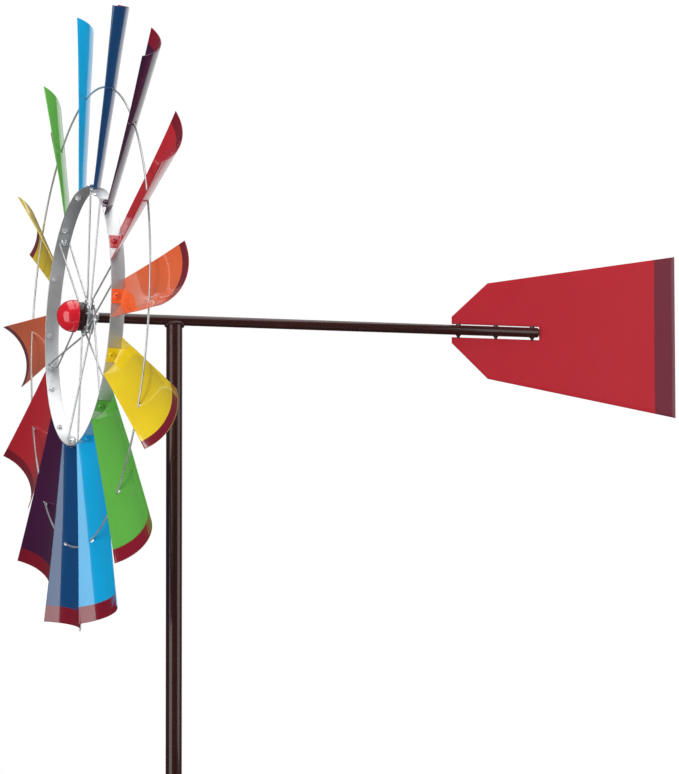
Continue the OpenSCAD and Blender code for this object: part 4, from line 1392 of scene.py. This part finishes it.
def soft_box(name, bearing, rise, distance, size, radiance):
    """A rectangular soft light of even radiance that faces the wheel, unseen by the camera."""
    toward = Vector(facing(math.radians(bearing), math.radians(rise)))
    data = bpy.data.lights.new(name, "AREA")
    data.shape, data.size, data.size_y = "RECTANGLE", *size
    data.energy = radiance * math.pi * size[0] * size[1]
    lamp = bpy.data.objects.new(name, data)
    bpy.context.scene.collection.objects.link(lamp)
    lamp.location = LIT_POINT + distance * toward
    lamp.visible_camera = False
    lamp.rotation_euler = toward.to_track_quat("Z", "Y").to_euler()


def studio_camera():
    """A long lens beside the boom, a little in front of the wheel's side and below it, looking up."""
    back = facing(CAMERA_BEARING, CAMERA_RISE)
    across = unit(np.cross(-back, [0, 0, 1.0]))
    over = np.cross(across, -back)
    right = across * math.cos(CAMERA_ROLL) + over * math.sin(CAMERA_ROLL)
    top = -across * math.sin(CAMERA_ROLL) + over * math.cos(CAMERA_ROLL)
    place = CAMERA_TARGET + back * CAMERA_DISTANCE
    data = bpy.data.cameras.new("studio_camera")
    data.sensor_width, data.lens, data.clip_end = CAMERA_SENSOR, CAMERA_LENS, 100.0
    camera = bpy.data.objects.new("studio_camera", data)
    bpy.context.scene.collection.objects.link(camera)
    turned = np.stack([right, top, back], 1)
    camera.matrix_world = Matrix([*([*row, p] for row, p in zip(turned, place)), [0, 0, 0, 1]])
    bpy.context.scene.camera = camera


class WINDMILL_OT_stage(Operator):
    """Make the pale floor, the soft studio light and the camera"""

    bl_idname = "windmill.stage"
    bl_label = "Stage"

    def execute(self, context):
        floor_disc()
        sky()
        for name, settings in SOFT_BOXES.items():
            soft_box(name, *settings)
        studio_camera()
        context.scene.view_settings.view_transform = "Standard"
        context.scene.view_settings.look = "None"
        return {"FINISHED"}



class WINDMILL_PT_sidebar(Panel):
    """Sizes, colours and pieces of the windmill"""

    bl_label = "Windmill"
    bl_space_type = "VIEW_3D"
    bl_region_type = "UI"
    bl_category = "Windmill"

    def draw(self, context):
        for attribute, kind in GROUPS.items():
            box = self.layout.box()
            for name in kind.__annotations__:
                box.prop(getattr(context.scene, attribute), name)
        for operator in OPERATORS:
            self.layout.operator(operator.bl_idname)


OPERATORS = (
    WINDMILL_OT_blades, WINDMILL_OT_rim, WINDMILL_OT_spokes, WINDMILL_OT_wheel_fasteners, WINDMILL_OT_nose,
    WINDMILL_OT_boom, WINDMILL_OT_vane, WINDMILL_OT_pole, WINDMILL_OT_stake, WINDMILL_OT_carried,
    WINDMILL_OT_stage,
)
GROUPS = {
    "windmill_wheel": WindmillWheelSizes,
    "windmill_body": WindmillBodySizes,
    "windmill_colours": WindmillColours,
}


def register():
    for group in GROUPS.values():
        bpy.utils.register_class(group)
    for name, group in GROUPS.items():
        setattr(bpy.types.Scene, name, PointerProperty(type=group))
    for kind in (*OPERATORS, WINDMILL_PT_sidebar):
        bpy.utils.register_class(kind)


def unregister():
    for kind in (WINDMILL_PT_sidebar, *reversed(OPERATORS)):
        bpy.utils.unregister_class(kind)
    for name, group in reversed(GROUPS.items()):
        delattr(bpy.types.Scene, name)
        bpy.utils.unregister_class(group)


def main():
    """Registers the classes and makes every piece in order."""
    register()
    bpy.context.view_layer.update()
    for operator in OPERATORS:
        group, name = operator.bl_idname.split(".")
        getattr(getattr(bpy.ops, group), name)()
    bpy.context.view_layer.update()


if __name__ == "__main__":
    main()
